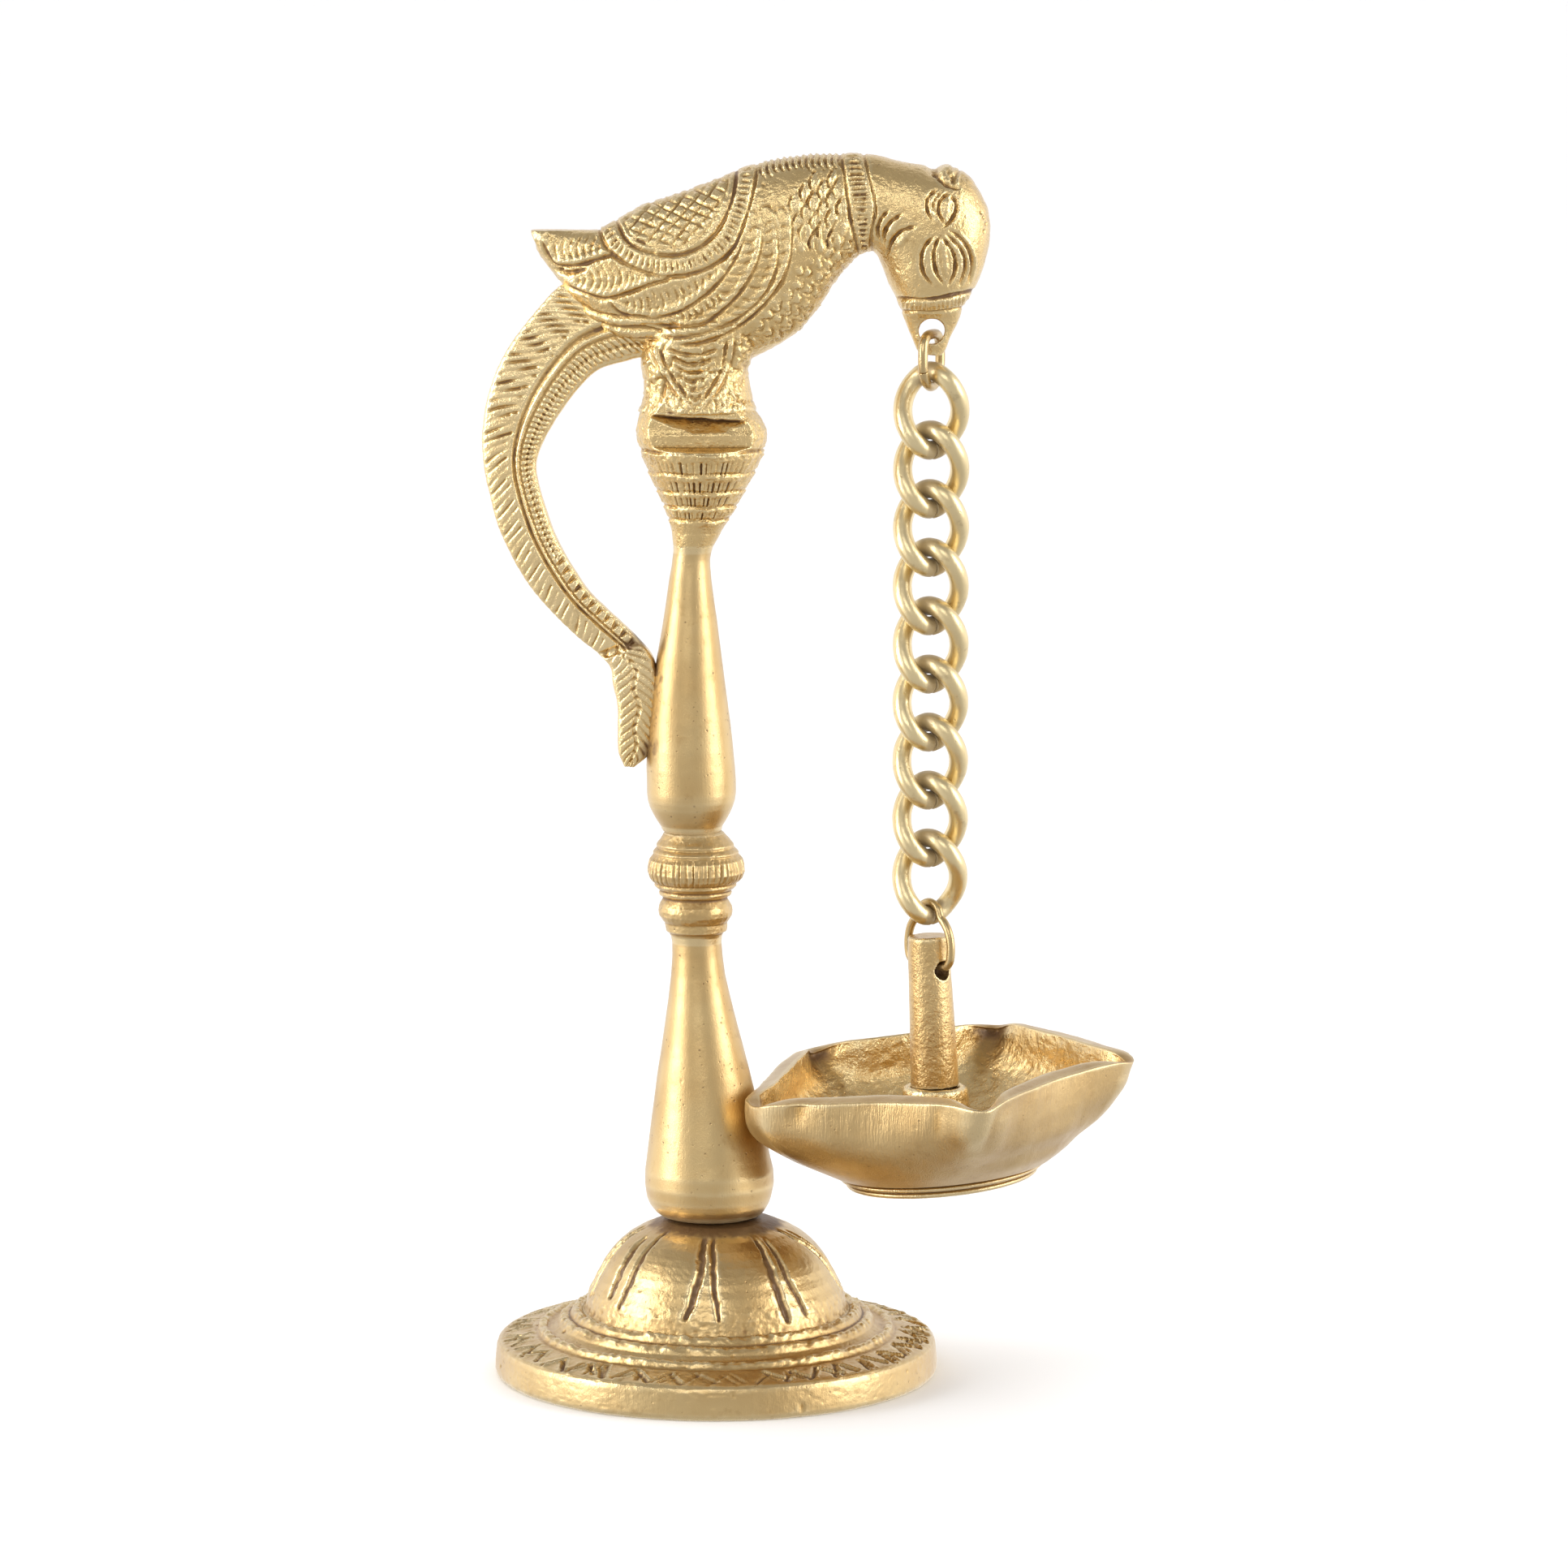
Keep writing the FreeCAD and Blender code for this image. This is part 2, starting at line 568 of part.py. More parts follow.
# ------------------------------------------------------------ bowl's post
pivot = Vector(cx, 0, low - size("post_eye_drop"))
lean = Rotation(Vector(0, 1, 0), -size("post_tilt"))
post = new_body("post_turning_body")
drop = pivot.z
revolve(post, "post_turning", [
    (0.0, size("post_top_level") - drop),
    (3.15, ("post_top_level", -drop)),
    ("post_top_radius", ("post_top_level", -drop - 0.3)),
    ("post_foot_radius", ("post_foot_level", -drop)),
    ("spigot_radius", ("post_foot_level", -drop)),
    ("spigot_radius", ("bowl_recess_level", -drop - 0.3)),
    ("rivet_radius", ("bowl_recess_level", -drop - 0.6)),
    (3.3, ("bowl_recess_level", -drop - 1.4)),
    (0.0, ("bowl_recess_level", -drop - 1.65)),
])
post.Placement = Placement(pivot, lean)
drill = doc.addObject("Part::Cylinder", "post_eye_drill")
drill.setExpression("Radius", "<<Sizes>>.post_eye_radius")
drill.Height = 20.0
drill.Placement = Placement(pivot - Vector(hx, hy, 0) * 10.0, Rotation(Vector(0, 0, 1), Vector(hx, hy, 0)))
diya_post = doc.addObject("Part::Cut", "diya_post")
diya_post.Label = "diya_post"
diya_post.Base = post
diya_post.Tool = drill

# ------------------------------------------------------------- bowl
rim = [(size("rim_%s_angle" % "abcdefghijklmnopqrstuvwxyz"[k]), size("rim_%s_radius" % "abcdefghijklmnopqrstuvwxyz"[k]))
       for k in range(len(RIM))]
bx, by = size("bowl_x"), size("bowl_y")
slope = math.tan(math.radians(size("rim_tilt")))


def lobe_wire(level, lobes, mean, inset, shift, tilted, grow=1.0):
    """Closed curve: round at lobes 0, the rim's five lips at lobes 1."""
    pts = []
    for ang, rad in rim:
        a = math.radians(ang)
        r = (mean * (1 - lobes) + (rad * grow - inset) * lobes)
        x = r * math.cos(a)
        y = -r * math.sin(a)
        z = level + slope * x * tilted
        pts.append(Vector(bx + shift + x, by + y, z))
    curve = Part.BSplineCurve()
    curve.interpolate(Points=pts, PeriodicFlag=True)
    return Part.Wire([curve.toShape()])


rl = size("rim_level")
fl = size("bowl_foot_level")
outer = Part.makeLoft([
    lobe_wire(fl + 2.3, 0.0, 17.6, 0.0, 0.75, 1.5),
    lobe_wire(fl + 4.6, 0.05, 20.2, 0.0, 0.6, 1.5),
    lobe_wire(fl + 8.8, 0.35, 23.6, 0.0, -0.1, 1.33),
    lobe_wire(fl + 13.9, 0.75, 26.5, 0.0, -0.4, 1.12),
    lobe_wire(rl, 1.0, 0.0, 0.0, 0.0, 1.0),
], True, False, False)
cavity = Part.makeLoft([
    lobe_wire(size("bowl_floor_level"), 0.0, size("bowl_floor_radius"), 0.0, -0.10, 1.1),
    lobe_wire(size("bowl_floor_level") + 0.9, 0.05, 17.0, 2.0, -0.10, 1.15),
    lobe_wire(size("bowl_floor_level") + 4.2, 0.35, 21.0, 2.6, -0.10, 1.2),
    lobe_wire(rl - 3.6, 0.85, 24.0, 2.9, -0.05, 1.05),
    lobe_wire(rl + 0.6, 1.0, 0.0, size("rim_wall"), 0.0, 1.0),
], True, False, False)
shell = doc.addObject("Part::Feature", "bowl_outer_form")
shell.Shape = outer
hollow = doc.addObject("Part::Feature", "bowl_hollow_form")
hollow.Shape = cavity
foot_ring = doc.addObject("Part::Cone", "bowl_foot_ring")
foot_ring.setExpression("Radius1", "<<Sizes>>.bowl_foot_radius")
foot_ring.setExpression("Radius2", "<<Sizes>>.bowl_foot_radius + 1.6")
foot_ring.Height = 2.8
foot_lean = Rotation(Vector(0, 1, 0), -size("bowl_foot_tilt"))
foot_ring.Placement = Placement(Vector(bx + 0.6, by, fl + 0.3), foot_lean)
boss = doc.addObject("Part::Cone", "bowl_boss")
boss.setExpression("Radius1", "<<Sizes>>.bowl_boss_foot_radius")
boss.setExpression("Radius2", "<<Sizes>>.bowl_boss_radius")
boss.setExpression("Height", "<<Sizes>>.bowl_boss_level - <<Sizes>>.bowl_floor_level + 2.0")
boss_mid = size("bowl_boss_level") - (size("bowl_boss_level") - size("bowl_floor_level") + 2.0)
along = pivot.z - boss_mid
boss.Placement = Placement(pivot + lean.multVec(Vector(0, 0, -along)), lean)
scooped = doc.addObject("Part::Cut", "bowl_scooped")
scooped.Base = shell
scooped.Tool = hollow
solid_bowl = doc.addObject("Part::MultiFuse", "bowl_with_foot")
solid_bowl.Shapes = [scooped, foot_ring, boss]
recess = doc.addObject("Part::Cylinder", "bowl_foot_recess")
recess.setExpression("Radius", "<<Sizes>>.bowl_recess_radius")
recess.setExpression("Height", "<<Sizes>>.bowl_recess_level - <<Sizes>>.bowl_foot_level + 2.0")
recess.Placement = Placement(Vector(bx + 0.6, by, fl + 0.3) + foot_lean.multVec(Vector(0, 0, -2.0)), foot_lean)
spigot_hole = doc.addObject("Part::Cylinder", "bowl_spigot_hole")
spigot_hole.setExpression("Radius", "<<Sizes>>.spigot_bore_radius")
spigot_hole.Height = 24.0
spigot_hole.Placement = Placement(pivot + lean.multVec(Vector(0, 0, -40.0)), lean)
bowl_tools = doc.addObject("Part::MultiFuse", "bowl_drills")
bowl_tools.Shapes = [recess, spigot_hole]
diya_bowl = doc.addObject("Part::Cut", "diya_bowl")
diya_bowl.Label = "diya_bowl"
diya_bowl.Base = solid_bowl
diya_bowl.Tool = bowl_tools
doc.recompute()

# ---------------------------------------------------------------- writing
pieces = [base, stud, washer, nut, lower, joining, bird_column, tail, ring]
pieces += links + [hanger, diya_post, diya_bowl]
for obj in doc.Objects:
    for flag in ("Invalid", "Error"):
        if flag in obj.State:
            raise RuntimeError("%s is %s" % (obj.Name, flag))
for obj in pieces:
    shape = obj.Shape
    if shape.isNull() or not shape.isValid():
        raise RuntimeError("%s has no valid shape" % obj.Label)
    if len(shape.Solids) != 1:
        raise RuntimeError("%s has %d solids" % (obj.Label, len(shape.Solids)))
for obj in pieces:
    shape = obj.Shape
    shape.exportStep("parts/%s.step" % obj.Label)
    box = shape.BoundBox
    print("%-18s vol %9.1f  x %7.2f..%7.2f y %7.2f..%7.2f z %7.2f..%7.2f" % (
        obj.Label, shape.Volume, box.XMin, box.XMax, box.YMin, box.YMax, box.ZMin, box.ZMax))
hung = [diya_bowl.Shape.Solids[0], diya_post.Shape.Solids[0]]
total = sum(s.Volume for s in hung)
com = sum((s.CenterOfMass * s.Volume for s in hung), Vector(0, 0, 0)) * (1.0 / total)
print("bowl and post: centre of mass", [round(v, 3) for v in com], "pivot", [round(v, 3) for v in (pivot.x, pivot.y, pivot.z)])
for k in range(9):
    print("link", k + 1, "centre level", round(first - k * pitch, 3))
print("ring bottom", round(ring_bottom, 3), "pitch", round(pitch, 3), "last bottom", round(last_bottom, 3))
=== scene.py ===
# Hanging oil lamp on a bird column, in cast brass.  Lengths below are in mm
# in the frame of the CAD model and are scaled to metres when a mesh is made.
import bpy
import math
import numpy as np
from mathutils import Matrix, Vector


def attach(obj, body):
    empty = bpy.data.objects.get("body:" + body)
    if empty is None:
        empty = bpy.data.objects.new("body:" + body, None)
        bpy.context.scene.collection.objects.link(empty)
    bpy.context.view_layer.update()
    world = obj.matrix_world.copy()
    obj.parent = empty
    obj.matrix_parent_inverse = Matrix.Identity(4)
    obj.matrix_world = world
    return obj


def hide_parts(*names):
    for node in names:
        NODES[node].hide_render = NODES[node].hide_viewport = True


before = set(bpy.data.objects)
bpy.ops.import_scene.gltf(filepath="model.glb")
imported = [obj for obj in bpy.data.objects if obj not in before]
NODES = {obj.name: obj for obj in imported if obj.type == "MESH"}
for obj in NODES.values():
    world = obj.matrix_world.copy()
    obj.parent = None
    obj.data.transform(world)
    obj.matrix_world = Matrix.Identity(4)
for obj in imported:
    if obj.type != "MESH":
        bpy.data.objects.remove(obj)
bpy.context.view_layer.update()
scene = bpy.context.scene

# ------------------------------------------------------------------ drawing
# The side drawing has its own units (du, dv), 0.131 mm each, dv downwards,
# seen from a point 1035 mm in front and 249 mm up, looking 8.32 degrees down.
TH = math.radians(8.32)
FOC, CU, CV = 7906.0, 966.0, 966.0
EX, EY, EZ = 11.2, -1035.0, 249.0


def draw_to_mm(u, v, y=0.0):
    """Point of the side drawing laid on the plane at that y."""
    du, dv = u - CU, v - CV
    dy = FOC * math.cos(TH) - dv * math.sin(TH)
    dz = -FOC * math.sin(TH) - dv * math.cos(TH)
    t = (y - EY) / dy
    return EX + t * du, EZ + t * dz


def mm_to_draw(P):
    """Drawing units of points; the far side is drawn as a mirror image."""
    x, y, z = P[:, 0] - EX, -np.abs(P[:, 1]) - EY, P[:, 2] - EZ
    depth = y * math.cos(TH) - z * math.sin(TH)
    up = y * math.sin(TH) + z * math.cos(TH)
    return CU + FOC * x / depth, CV - FOC * up / depth


def level(v, y=0.0):
    return draw_to_mm(870.0, v, y)[1]


# -------------------------------------------------------------------- noise
def _hash(i, j, k, seed):
    h = (i * 374761393 + j * 668265263 + k * 2246822519 + seed * 3266489917) & 0xFFFFFFFF
    h = ((h ^ (h >> 13)) * 1274126177) & 0xFFFFFFFF
    h = ((h ^ (h >> 15)) * 2654435761) & 0xFFFFFFFF
    return ((h ^ (h >> 16)) & 0xFFFFFF) / 16777215.0


def noise(P, cell, seed=0):
    """Smooth value noise, -1 to 1."""
    q = np.asarray(P, float) / cell
    i = np.floor(q).astype(np.int64)
    f = q - i
    f = f * f * (3 - 2 * f)
    out = 0.0
    for a in (0, 1):
        wa = f[:, 0] if a else 1 - f[:, 0]
        for b in (0, 1):
            wb = f[:, 1] if b else 1 - f[:, 1]
            for c in (0, 1):
                wc = f[:, 2] if c else 1 - f[:, 2]
                out = out + wa * wb * wc * _hash(i[:, 0] + a, i[:, 1] + b, i[:, 2] + c, seed)
    return out * 2 - 1


def fbm(P, cell, octaves=3, seed=0):
    out, amp, tot = 0.0, 1.0, 0.0
    for o in range(octaves):
        out = out + amp * noise(P, cell / 2 ** o, seed + 17 * o)
        tot += amp
        amp *= 0.55
    return out / tot


def pits(P, cell, seed, share=0.35, lo=0.12, hi=0.3):
    """0 to 1 inside scattered round pits."""
    q = np.asarray(P, float) / cell
    i = np.floor(q).astype(np.int64)
    out = np.zeros(len(q))
    for a in (-1, 0, 1):
        for b in (-1, 0, 1):
            for c in (-1, 0, 1):
                I, J, K = i[:, 0] + a, i[:, 1] + b, i[:, 2] + c
                keep = _hash(I, J, K, seed + 5) < share
                d2 = ((I + _hash(I, J, K, seed)) - q[:, 0]) ** 2
                d2 += ((J + _hash(I, J, K, seed + 1)) - q[:, 1]) ** 2
                d2 += ((K + _hash(I, J, K, seed + 2)) - q[:, 2]) ** 2
                r = lo + (hi - lo) * _hash(I, J, K, seed + 3)
                out = np.maximum(out, np.where(keep, np.clip(1 - d2 / (r * r), 0, 1), 0))
    return out


def smooth(e0, e1, x):
    t = np.clip((np.asarray(x, float) - e0) / (e1 - e0), 0, 1)
    return t * t * (3 - 2 * t)


def curve_through(points, count, closed=False):
    """Catmull-Rom curve through the points, evenly spaced along its length."""
    p = np.asarray(points, float)
    n = len(p)
    if closed:
        q = np.vstack([p[-1], p, p[0], p[1]])
        spans = n
    else:
        q = np.vstack([2 * p[0] - p[1], p, 2 * p[-1] - p[-2]])
        spans = n - 1
    per = max(8, int(4 * count / spans) + 1)
    out = []
    for k in range(spans):
        a, b, c, d = q[k], q[k + 1], q[k + 2], q[k + 3]
        t = (np.arange(per) / per)[:, None]
        out.append(0.5 * (2 * b + (c - a) * t + (2 * a - 5 * b + 4 * c - d) * t ** 2
                          + (3 * b - a - 3 * c + d) * t ** 3))
    out.append((p[0] if closed else p[-1])[None])
    out = np.vstack(out)
    s = np.concatenate([[0], np.cumsum(np.linalg.norm(np.diff(out, axis=0), axis=1))])
    g = np.linspace(0, s[-1], count + (1 if closed else 0))
    res = np.stack([np.interp(g, s, out[:, k]) for k in range(p.shape[1])], 1)
    return res[:-1] if closed else res


# ------------------------------------------------------------ relief drawing
class Relief:
    """Engraving drawn with strokes on the side drawing, in mm of depth."""

    def __init__(self, u0, u1, v0, v1, step=0.5):
        self.u0, self.v0, self.step = u0, v0, step
        self.nu, self.nv = int((u1 - u0) / step) + 1, int((v1 - v0) / step) + 1
        self.cut = np.zeros((self.nv, self.nu))
        self.raised = np.zeros((self.nv, self.nu))

    def _stamp(self, layer, u, v, w, h):
        st = self.step
        a, b = int((u - w - self.u0) / st), int((u + w - self.u0) / st) + 2
        c, d = int((v - w - self.v0) / st), int((v + w - self.v0) / st) + 2
        a, c, b, d = max(a, 0), max(c, 0), min(b, self.nu), min(d, self.nv)
        if a >= b or c >= d:
            return
        uu = self.u0 + st * np.arange(a, b) - u
        vv = self.v0 + st * np.arange(c, d) - v
        f = h * np.clip(1 - (uu[None, :] ** 2 + vv[:, None] ** 2) / (w * w), 0, 1)
        np.maximum(layer[c:d, a:b], f, out=layer[c:d, a:b])

    def stroke(self, pts, w=2.2, depth=0.3, start=0.25, end=0.25, ridge=False, seed=0):
        """Groove (or ridge) along the points, thinner towards its ends."""
        p = np.asarray(pts, float)
        n = max(4, int(np.linalg.norm(np.diff(p, axis=0), axis=1).sum() / 0.7))
        p = curve_through(p, n) if len(p) > 2 else p[0] + (p[1] - p[0]) * np.linspace(0, 1, n)[:, None]
        t = np.linspace(0, 1, len(p))
        k = np.minimum(1, np.minimum(0.35 + t / max(start, 1e-3), 0.35 + (1 - t) / max(end, 1e-3)))
        jit = 1 + 0.22 * np.sin(t * 17 + seed * 2.3) * np.sin(t * 7.1 + seed)
        layer = self.raised if ridge else self.cut
        for (u, v), kk, jj in zip(p, k, jit):
            self._stamp(layer, u, v, w * (0.55 + 0.45 * kk) * jj, depth * kk * jj)

    def pad(self, u, v, length, width, angle, height, cut=0.0):
        """Raised drop with a groove round its rounded end."""
        ca, sa = math.cos(angle), math.sin(angle)
        n = 9
        for k in range(n):
            t = k / (n - 1.0)
            off = (t - 0.5) * (length - width)
            self._stamp(self.raised, u + ca * off, v + sa * off, width * (0.30 + 0.32 * math.sin(math.pi * (0.25 + 0.6 * t))), height)
        if cut:
            pts = []
            for k in range(9):
                a = -2.0 + 4.0 * k / 8.0
                x, y = length * 0.18 + length * 0.40 * math.cos(a), width * 0.62 * math.sin(a)
                pts.append((u + ca * x - sa * y, v + sa * x + ca * y))
            self.stroke(pts, 1.7, cut, 0.2, 0.2)

    def at(self, u, v):
        x = np.clip((u - self.u0) / self.step, 0, self.nu - 1.001)
        y = np.clip((v - self.v0) / self.step, 0, self.nv - 1.001)
        i, j = x.astype(int), y.astype(int)
        fx, fy = x - i, y - j

        def pick(a):
            return ((a[j, i] * (1 - fx) + a[j, i + 1] * fx) * (1 - fy)
                    + (a[j + 1, i] * (1 - fx) + a[j + 1, i + 1] * fx) * fy)
        return pick(self.raised), pick(self.cut)


rng = np.random.RandomState(11)

# ----------------------------------------------------------------- materials
def _nodes(name):
    m = bpy.data.materials.new(name)
    m.use_nodes = True
    nt = m.node_tree
    nt.nodes.clear()
    return m, nt


def brass(name, light, deep, tarnish, crevice, rough=0.33, grain=0.18, grain_size=0.35,
          scratch=0.12, scratch_axis=(1, 1, 0.06), tarnish_amount=0.35, spots=0.4, edge=(0.90, 0.74, 0.43),
          amber=(0.47, 0.275, 0.075), relief=1.0, lacquer=0.45):
    """Cast brass: two golds in large soft patches, tarnish in spots, dark
    crevices and bright rubbed edges from the mesh's own attributes."""
    m, nt = _nodes(name)
    L, N = nt.links, nt.nodes

    def node(kind, **kw):
        n = N.new(kind)
        for k, v in kw.items():
            setattr(n, k, v)
        return n

    def noise_tex(scale, detail, roughness=0.55, vec=None, distortion=0.0):
        n = node("ShaderNodeTexNoise")
        n.inputs["Scale"].default_value = scale
        n.inputs["Detail"].default_value = detail
        n.inputs["Roughness"].default_value = roughness
        n.inputs["Distortion"].default_value = distortion
        L.new(vec or coord.outputs["Object"], n.inputs["Vector"])
        return n

    def ramp(src, a, b, lo=0.0, hi=1.0):
        n = node("ShaderNodeMapRange")
        n.interpolation_type = "SMOOTHSTEP"
        n.inputs["From Min"].default_value = a
        n.inputs["From Max"].default_value = b
        n.inputs["To Min"].default_value = lo
        n.inputs["To Max"].default_value = hi
        L.new(src, n.inputs["Value"])
        return n.outputs["Result"]

    def mix(fac, a, b, kind="MIX"):
        n = node("ShaderNodeMix")
        n.data_type = "RGBA"
        n.blend_type = kind
        n.clamp_factor = True
        if isinstance(fac, float):
            n.inputs[0].default_value = fac
        else:
            L.new(fac, n.inputs[0])
        for k, c in ((6, a), (7, b)):
            if isinstance(c, tuple):
                n.inputs[k].default_value = (*c, 1)
            else:
                L.new(c, n.inputs[k])
        return n.outputs[2]

    def math_(op, a, b=None, clamp=False):
        n = node("ShaderNodeMath")
        n.operation = op
        n.use_clamp = clamp
        for k, c in enumerate((a, b)):
            if c is None:
                continue
            if isinstance(c, (int, float)):
                n.inputs[k].default_value = c
            else:
                L.new(c, n.inputs[k])
        return n.outputs[0]

    coord = node("ShaderNodeTexCoord")
    cav = node("ShaderNodeAttribute", attribute_name="cavity").outputs["Fac"]
    rub = node("ShaderNodeAttribute", attribute_name="rubbed").outputs["Fac"]
    # the third attribute holds patina together with painted shade
    patina_shade_fac = node("ShaderNodeAttribute", attribute_name="patina_and_shade").outputs["Fac"]

    big = noise_tex(70.0, 3.0)
    mid = noise_tex(420.0, 4.0, 0.6)
    fine = noise_tex(1000.0 / grain_size, 3.0, 0.65)
    base = mix(ramp(big.outputs["Fac"], 0.35, 0.68), light, deep)
    spot = math_("MULTIPLY", ramp(mid.outputs["Fac"], 0.56, 0.74), tarnish_amount)
    base = mix(spot, base, tarnish)
    # tiny dark pores of the casting
    vor = node("ShaderNodeTexVoronoi")
    vor.inputs["Scale"].default_value = 900.0
    L.new(coord.outputs["Object"], vor.inputs["Vector"])
    pore = math_("MULTIPLY", ramp(vor.outputs["Distance"], 0.22, 0.08), ramp(mid.outputs["Fac"], 0.47, 0.6))
    base = mix(math_("MULTIPLY", pore, spots), base, crevice)
    # crevices
    rag = math_("ADD", cav, math_("MULTIPLY", math_("SUBTRACT", mid.outputs["Fac"], 0.5), 0.5))
    warm = ramp(math_("ADD", rag, math_("MULTIPLY", patina_shade_fac, 0.6)), 0.08, 0.80)
    base = mix(math_("MULTIPLY", warm, 0.85), base, amber)
    dark = ramp(math_("ADD", math_("MULTIPLY", rag, 0.62), math_("MULTIPLY", patina_shade_fac, 1.05)), 0.36, 1.05)
    base = mix(math_("MULTIPLY", dark, 0.85), base, crevice)
    base = mix(math_("MULTIPLY", ramp(rub, 0.12, 0.8), 0.5), base, edge)

    bsdf = node("ShaderNodeBsdfPrincipled")
    bsdf.inputs["IOR"].default_value = 1.5
    bsdf.inputs["Coat Weight"].default_value = lacquer
    bsdf.inputs["Coat Roughness"].default_value = 0.32
    bsdf.inputs["Coat IOR"].default_value = 1.6
    L.new(base, bsdf.inputs["Base Color"])
    metal = math_("SUBTRACT", 1.0, math_("MULTIPLY", dark, 0.45))
    L.new(metal, bsdf.inputs["Metallic"])
    r = math_("ADD", rough, math_("MULTIPLY", math_("SUBTRACT", big.outputs["Fac"], 0.5), 0.16))
    r = math_("ADD", r, math_("MULTIPLY", math_("SUBTRACT", mid.outputs["Fac"], 0.5), 0.22))
    r = math_("ADD", r, math_("MULTIPLY", dark, 0.25))
    r = math_("SUBTRACT", r, math_("MULTIPLY", rub, 0.08), True)
    L.new(r, bsdf.inputs["Roughness"])

    # bump: sand grain, soft dents and file marks
    mp = node("ShaderNodeMapping")
    mp.inputs["Scale"].default_value = scratch_axis
    L.new(coord.outputs["Object"], mp.inputs["Vector"])
    lines = noise_tex(3600.0, 2.0, 0.6, mp.outputs["Vector"])
    h = math_("MULTIPLY", fine.outputs["Fac"], grain)
    h = math_("ADD", h, math_("MULTIPLY", lines.outputs["Fac"], scratch))
    h = math_("ADD", h, math_("MULTIPLY", mid.outputs["Fac"], 0.22))
    h = math_("SUBTRACT", h, math_("MULTIPLY", pore, 0.25))
    bump = node("ShaderNodeBump")
    bump.inputs["Strength"].default_value = 0.6
    bump.inputs["Distance"].default_value = 0.00022 * relief
    L.new(h, bump.inputs["Height"])
    L.new(bump.outputs["Normal"], bsdf.inputs["Normal"])
    out = node("ShaderNodeOutputMaterial")
    L.new(bsdf.outputs["BSDF"], out.inputs["Surface"])
    return m


GOLD = (0.70, 0.505, 0.230)
GOLD_DEEP = (0.615, 0.415, 0.170)
TARN = (0.40, 0.235, 0.075)
DARK = (0.130, 0.060, 0.022)
M_BASE = brass("brass_base_cast", GOLD, GOLD_DEEP, TARN, DARK, rough=0.34, grain=0.32, grain_size=0.6, scratch=0.14, relief=1.4)
M_STEM = brass("brass_stem_turned", GOLD, GOLD_DEEP, TARN, DARK, rough=0.38, grain=0.20, spots=0.6)
M_BIRD = brass("brass_bird_cast", (0.82, 0.605, 0.285), (0.73, 0.515, 0.220), (0.45, 0.27, 0.085), DARK, rough=0.25, grain=0.80,
               grain_size=0.7, scratch=0.04, spots=0.35, relief=1.9, tarnish_amount=0.45, lacquer=0.3)
M_TAIL = brass("brass_tail_cast", (0.92, 0.715, 0.385), (0.85, 0.640, 0.315), (0.45, 0.27, 0.085), DARK, rough=0.27, grain=0.70,
               grain_size=0.7, scratch=0.06, relief=1.8, lacquer=0.3)
M_CHAIN = brass("brass_chain_drawn", (0.93, 0.795, 0.465), (0.84, 0.690, 0.380), (0.31, 0.220, 0.095), (0.10, 0.056, 0.026),
                rough=0.40, grain=0.10, scratch=0.12, tarnish_amount=0.6, spots=0.25, edge=(0.78, 0.62, 0.34), amber=(0.33, 0.215, 0.085))
M_WIRE = brass("brass_wire_aged", (0.50, 0.365, 0.170), (0.40, 0.275, 0.120), (0.26, 0.165, 0.070), (0.09, 0.045, 0.02),
               rough=0.36, grain=0.08, scratch=0.14, tarnish_amount=0.6, spots=0.2, edge=(0.74, 0.55, 0.26), amber=(0.28, 0.165, 0.060))
M_BOWL = brass("brass_bowl_filed", (0.66, 0.470, 0.215), (0.56, 0.375, 0.155), (0.42, 0.255, 0.085), DARK, rough=0.38, grain=0.30,
               scratch=0.60, scratch_axis=(1, 1, 0.07), relief=1.3, spots=0.3)
# the inside is a lighter copy of the bowl's brass: painted light; its rough cast grain is real
M_BOWL_IN_PAINTED_LIGHT = brass("brass_bowl_cast_inside_painted_light", (0.84, 0.635, 0.315), (0.76, 0.550, 0.250), (0.46, 0.28, 0.09), DARK, rough=0.28, grain=0.90,
                  grain_size=0.9, scratch=0.03, relief=2.2, spots=0.25, lacquer=0.3)
M_POST = brass("brass_post_turned", (0.72, 0.515, 0.235), (0.62, 0.420, 0.170), TARN, DARK, rough=0.33, grain=0.85, grain_size=0.8, spots=0.6, relief=2.0)
M_BOLT = brass("brass_fastener", (0.50, 0.360, 0.150), (0.42, 0.290, 0.110), (0.25, 0.160, 0.060), DARK, rough=0.30, grain=0.08,
               scratch=0.30, scratch_axis=(1, 1, 1), tarnish_amount=0.5)


# -------------------------------------------------------------------- meshes
def write_attributes(me, P, span, patina_and_shade=None, gain=1.0):
    """Crevices and rubbed edges from how far each point lies below or above
    the smoothed surface round it."""
    n = len(P)
    e = np.zeros(len(me.edges) * 2, np.int64)
    me.edges.foreach_get("vertices", e)
    e = e.reshape(-1, 2)
    deg = np.bincount(e.ravel(), minlength=n).astype(float)
    deg[deg == 0] = 1
    nr = np.zeros(n * 3, np.float32)
    me.vertex_normals.foreach_get("vector", nr)
    nr = nr.reshape(-1, 3)

    def around(x):
        return np.stack([(np.bincount(e[:, 0], x[e[:, 1], k], n) + np.bincount(e[:, 1], x[e[:, 0], k], n)) / deg
                         for k in range(x.shape[1])], 1)
    a = P.copy()
    fine = None
    for k in range(22):
        a = 0.35 * a + 0.65 * around(a)
        if k == 5:
            fine = ((a - P) * nr).sum(1)
    wide = ((a - P) * nr).sum(1)
    c = (fine / span + 0.5 * wide / span) * gain
    for k in range(2):
        c = 0.5 * c + 0.5 * around(c[:, None])[:, 0]
    # the third attribute holds each piece's patina together with its painted shade
    for nm, val in (("cavity", np.clip(c, 0, 1)), ("rubbed", np.clip(-c, 0, 1)),
                    ("patina_and_shade", patina_and_shade if patina_and_shade is not None else np.zeros(n))):
        at = me.attributes.new(nm, "FLOAT", "POINT")
        at.data.foreach_set("value", np.asarray(val, np.float32))


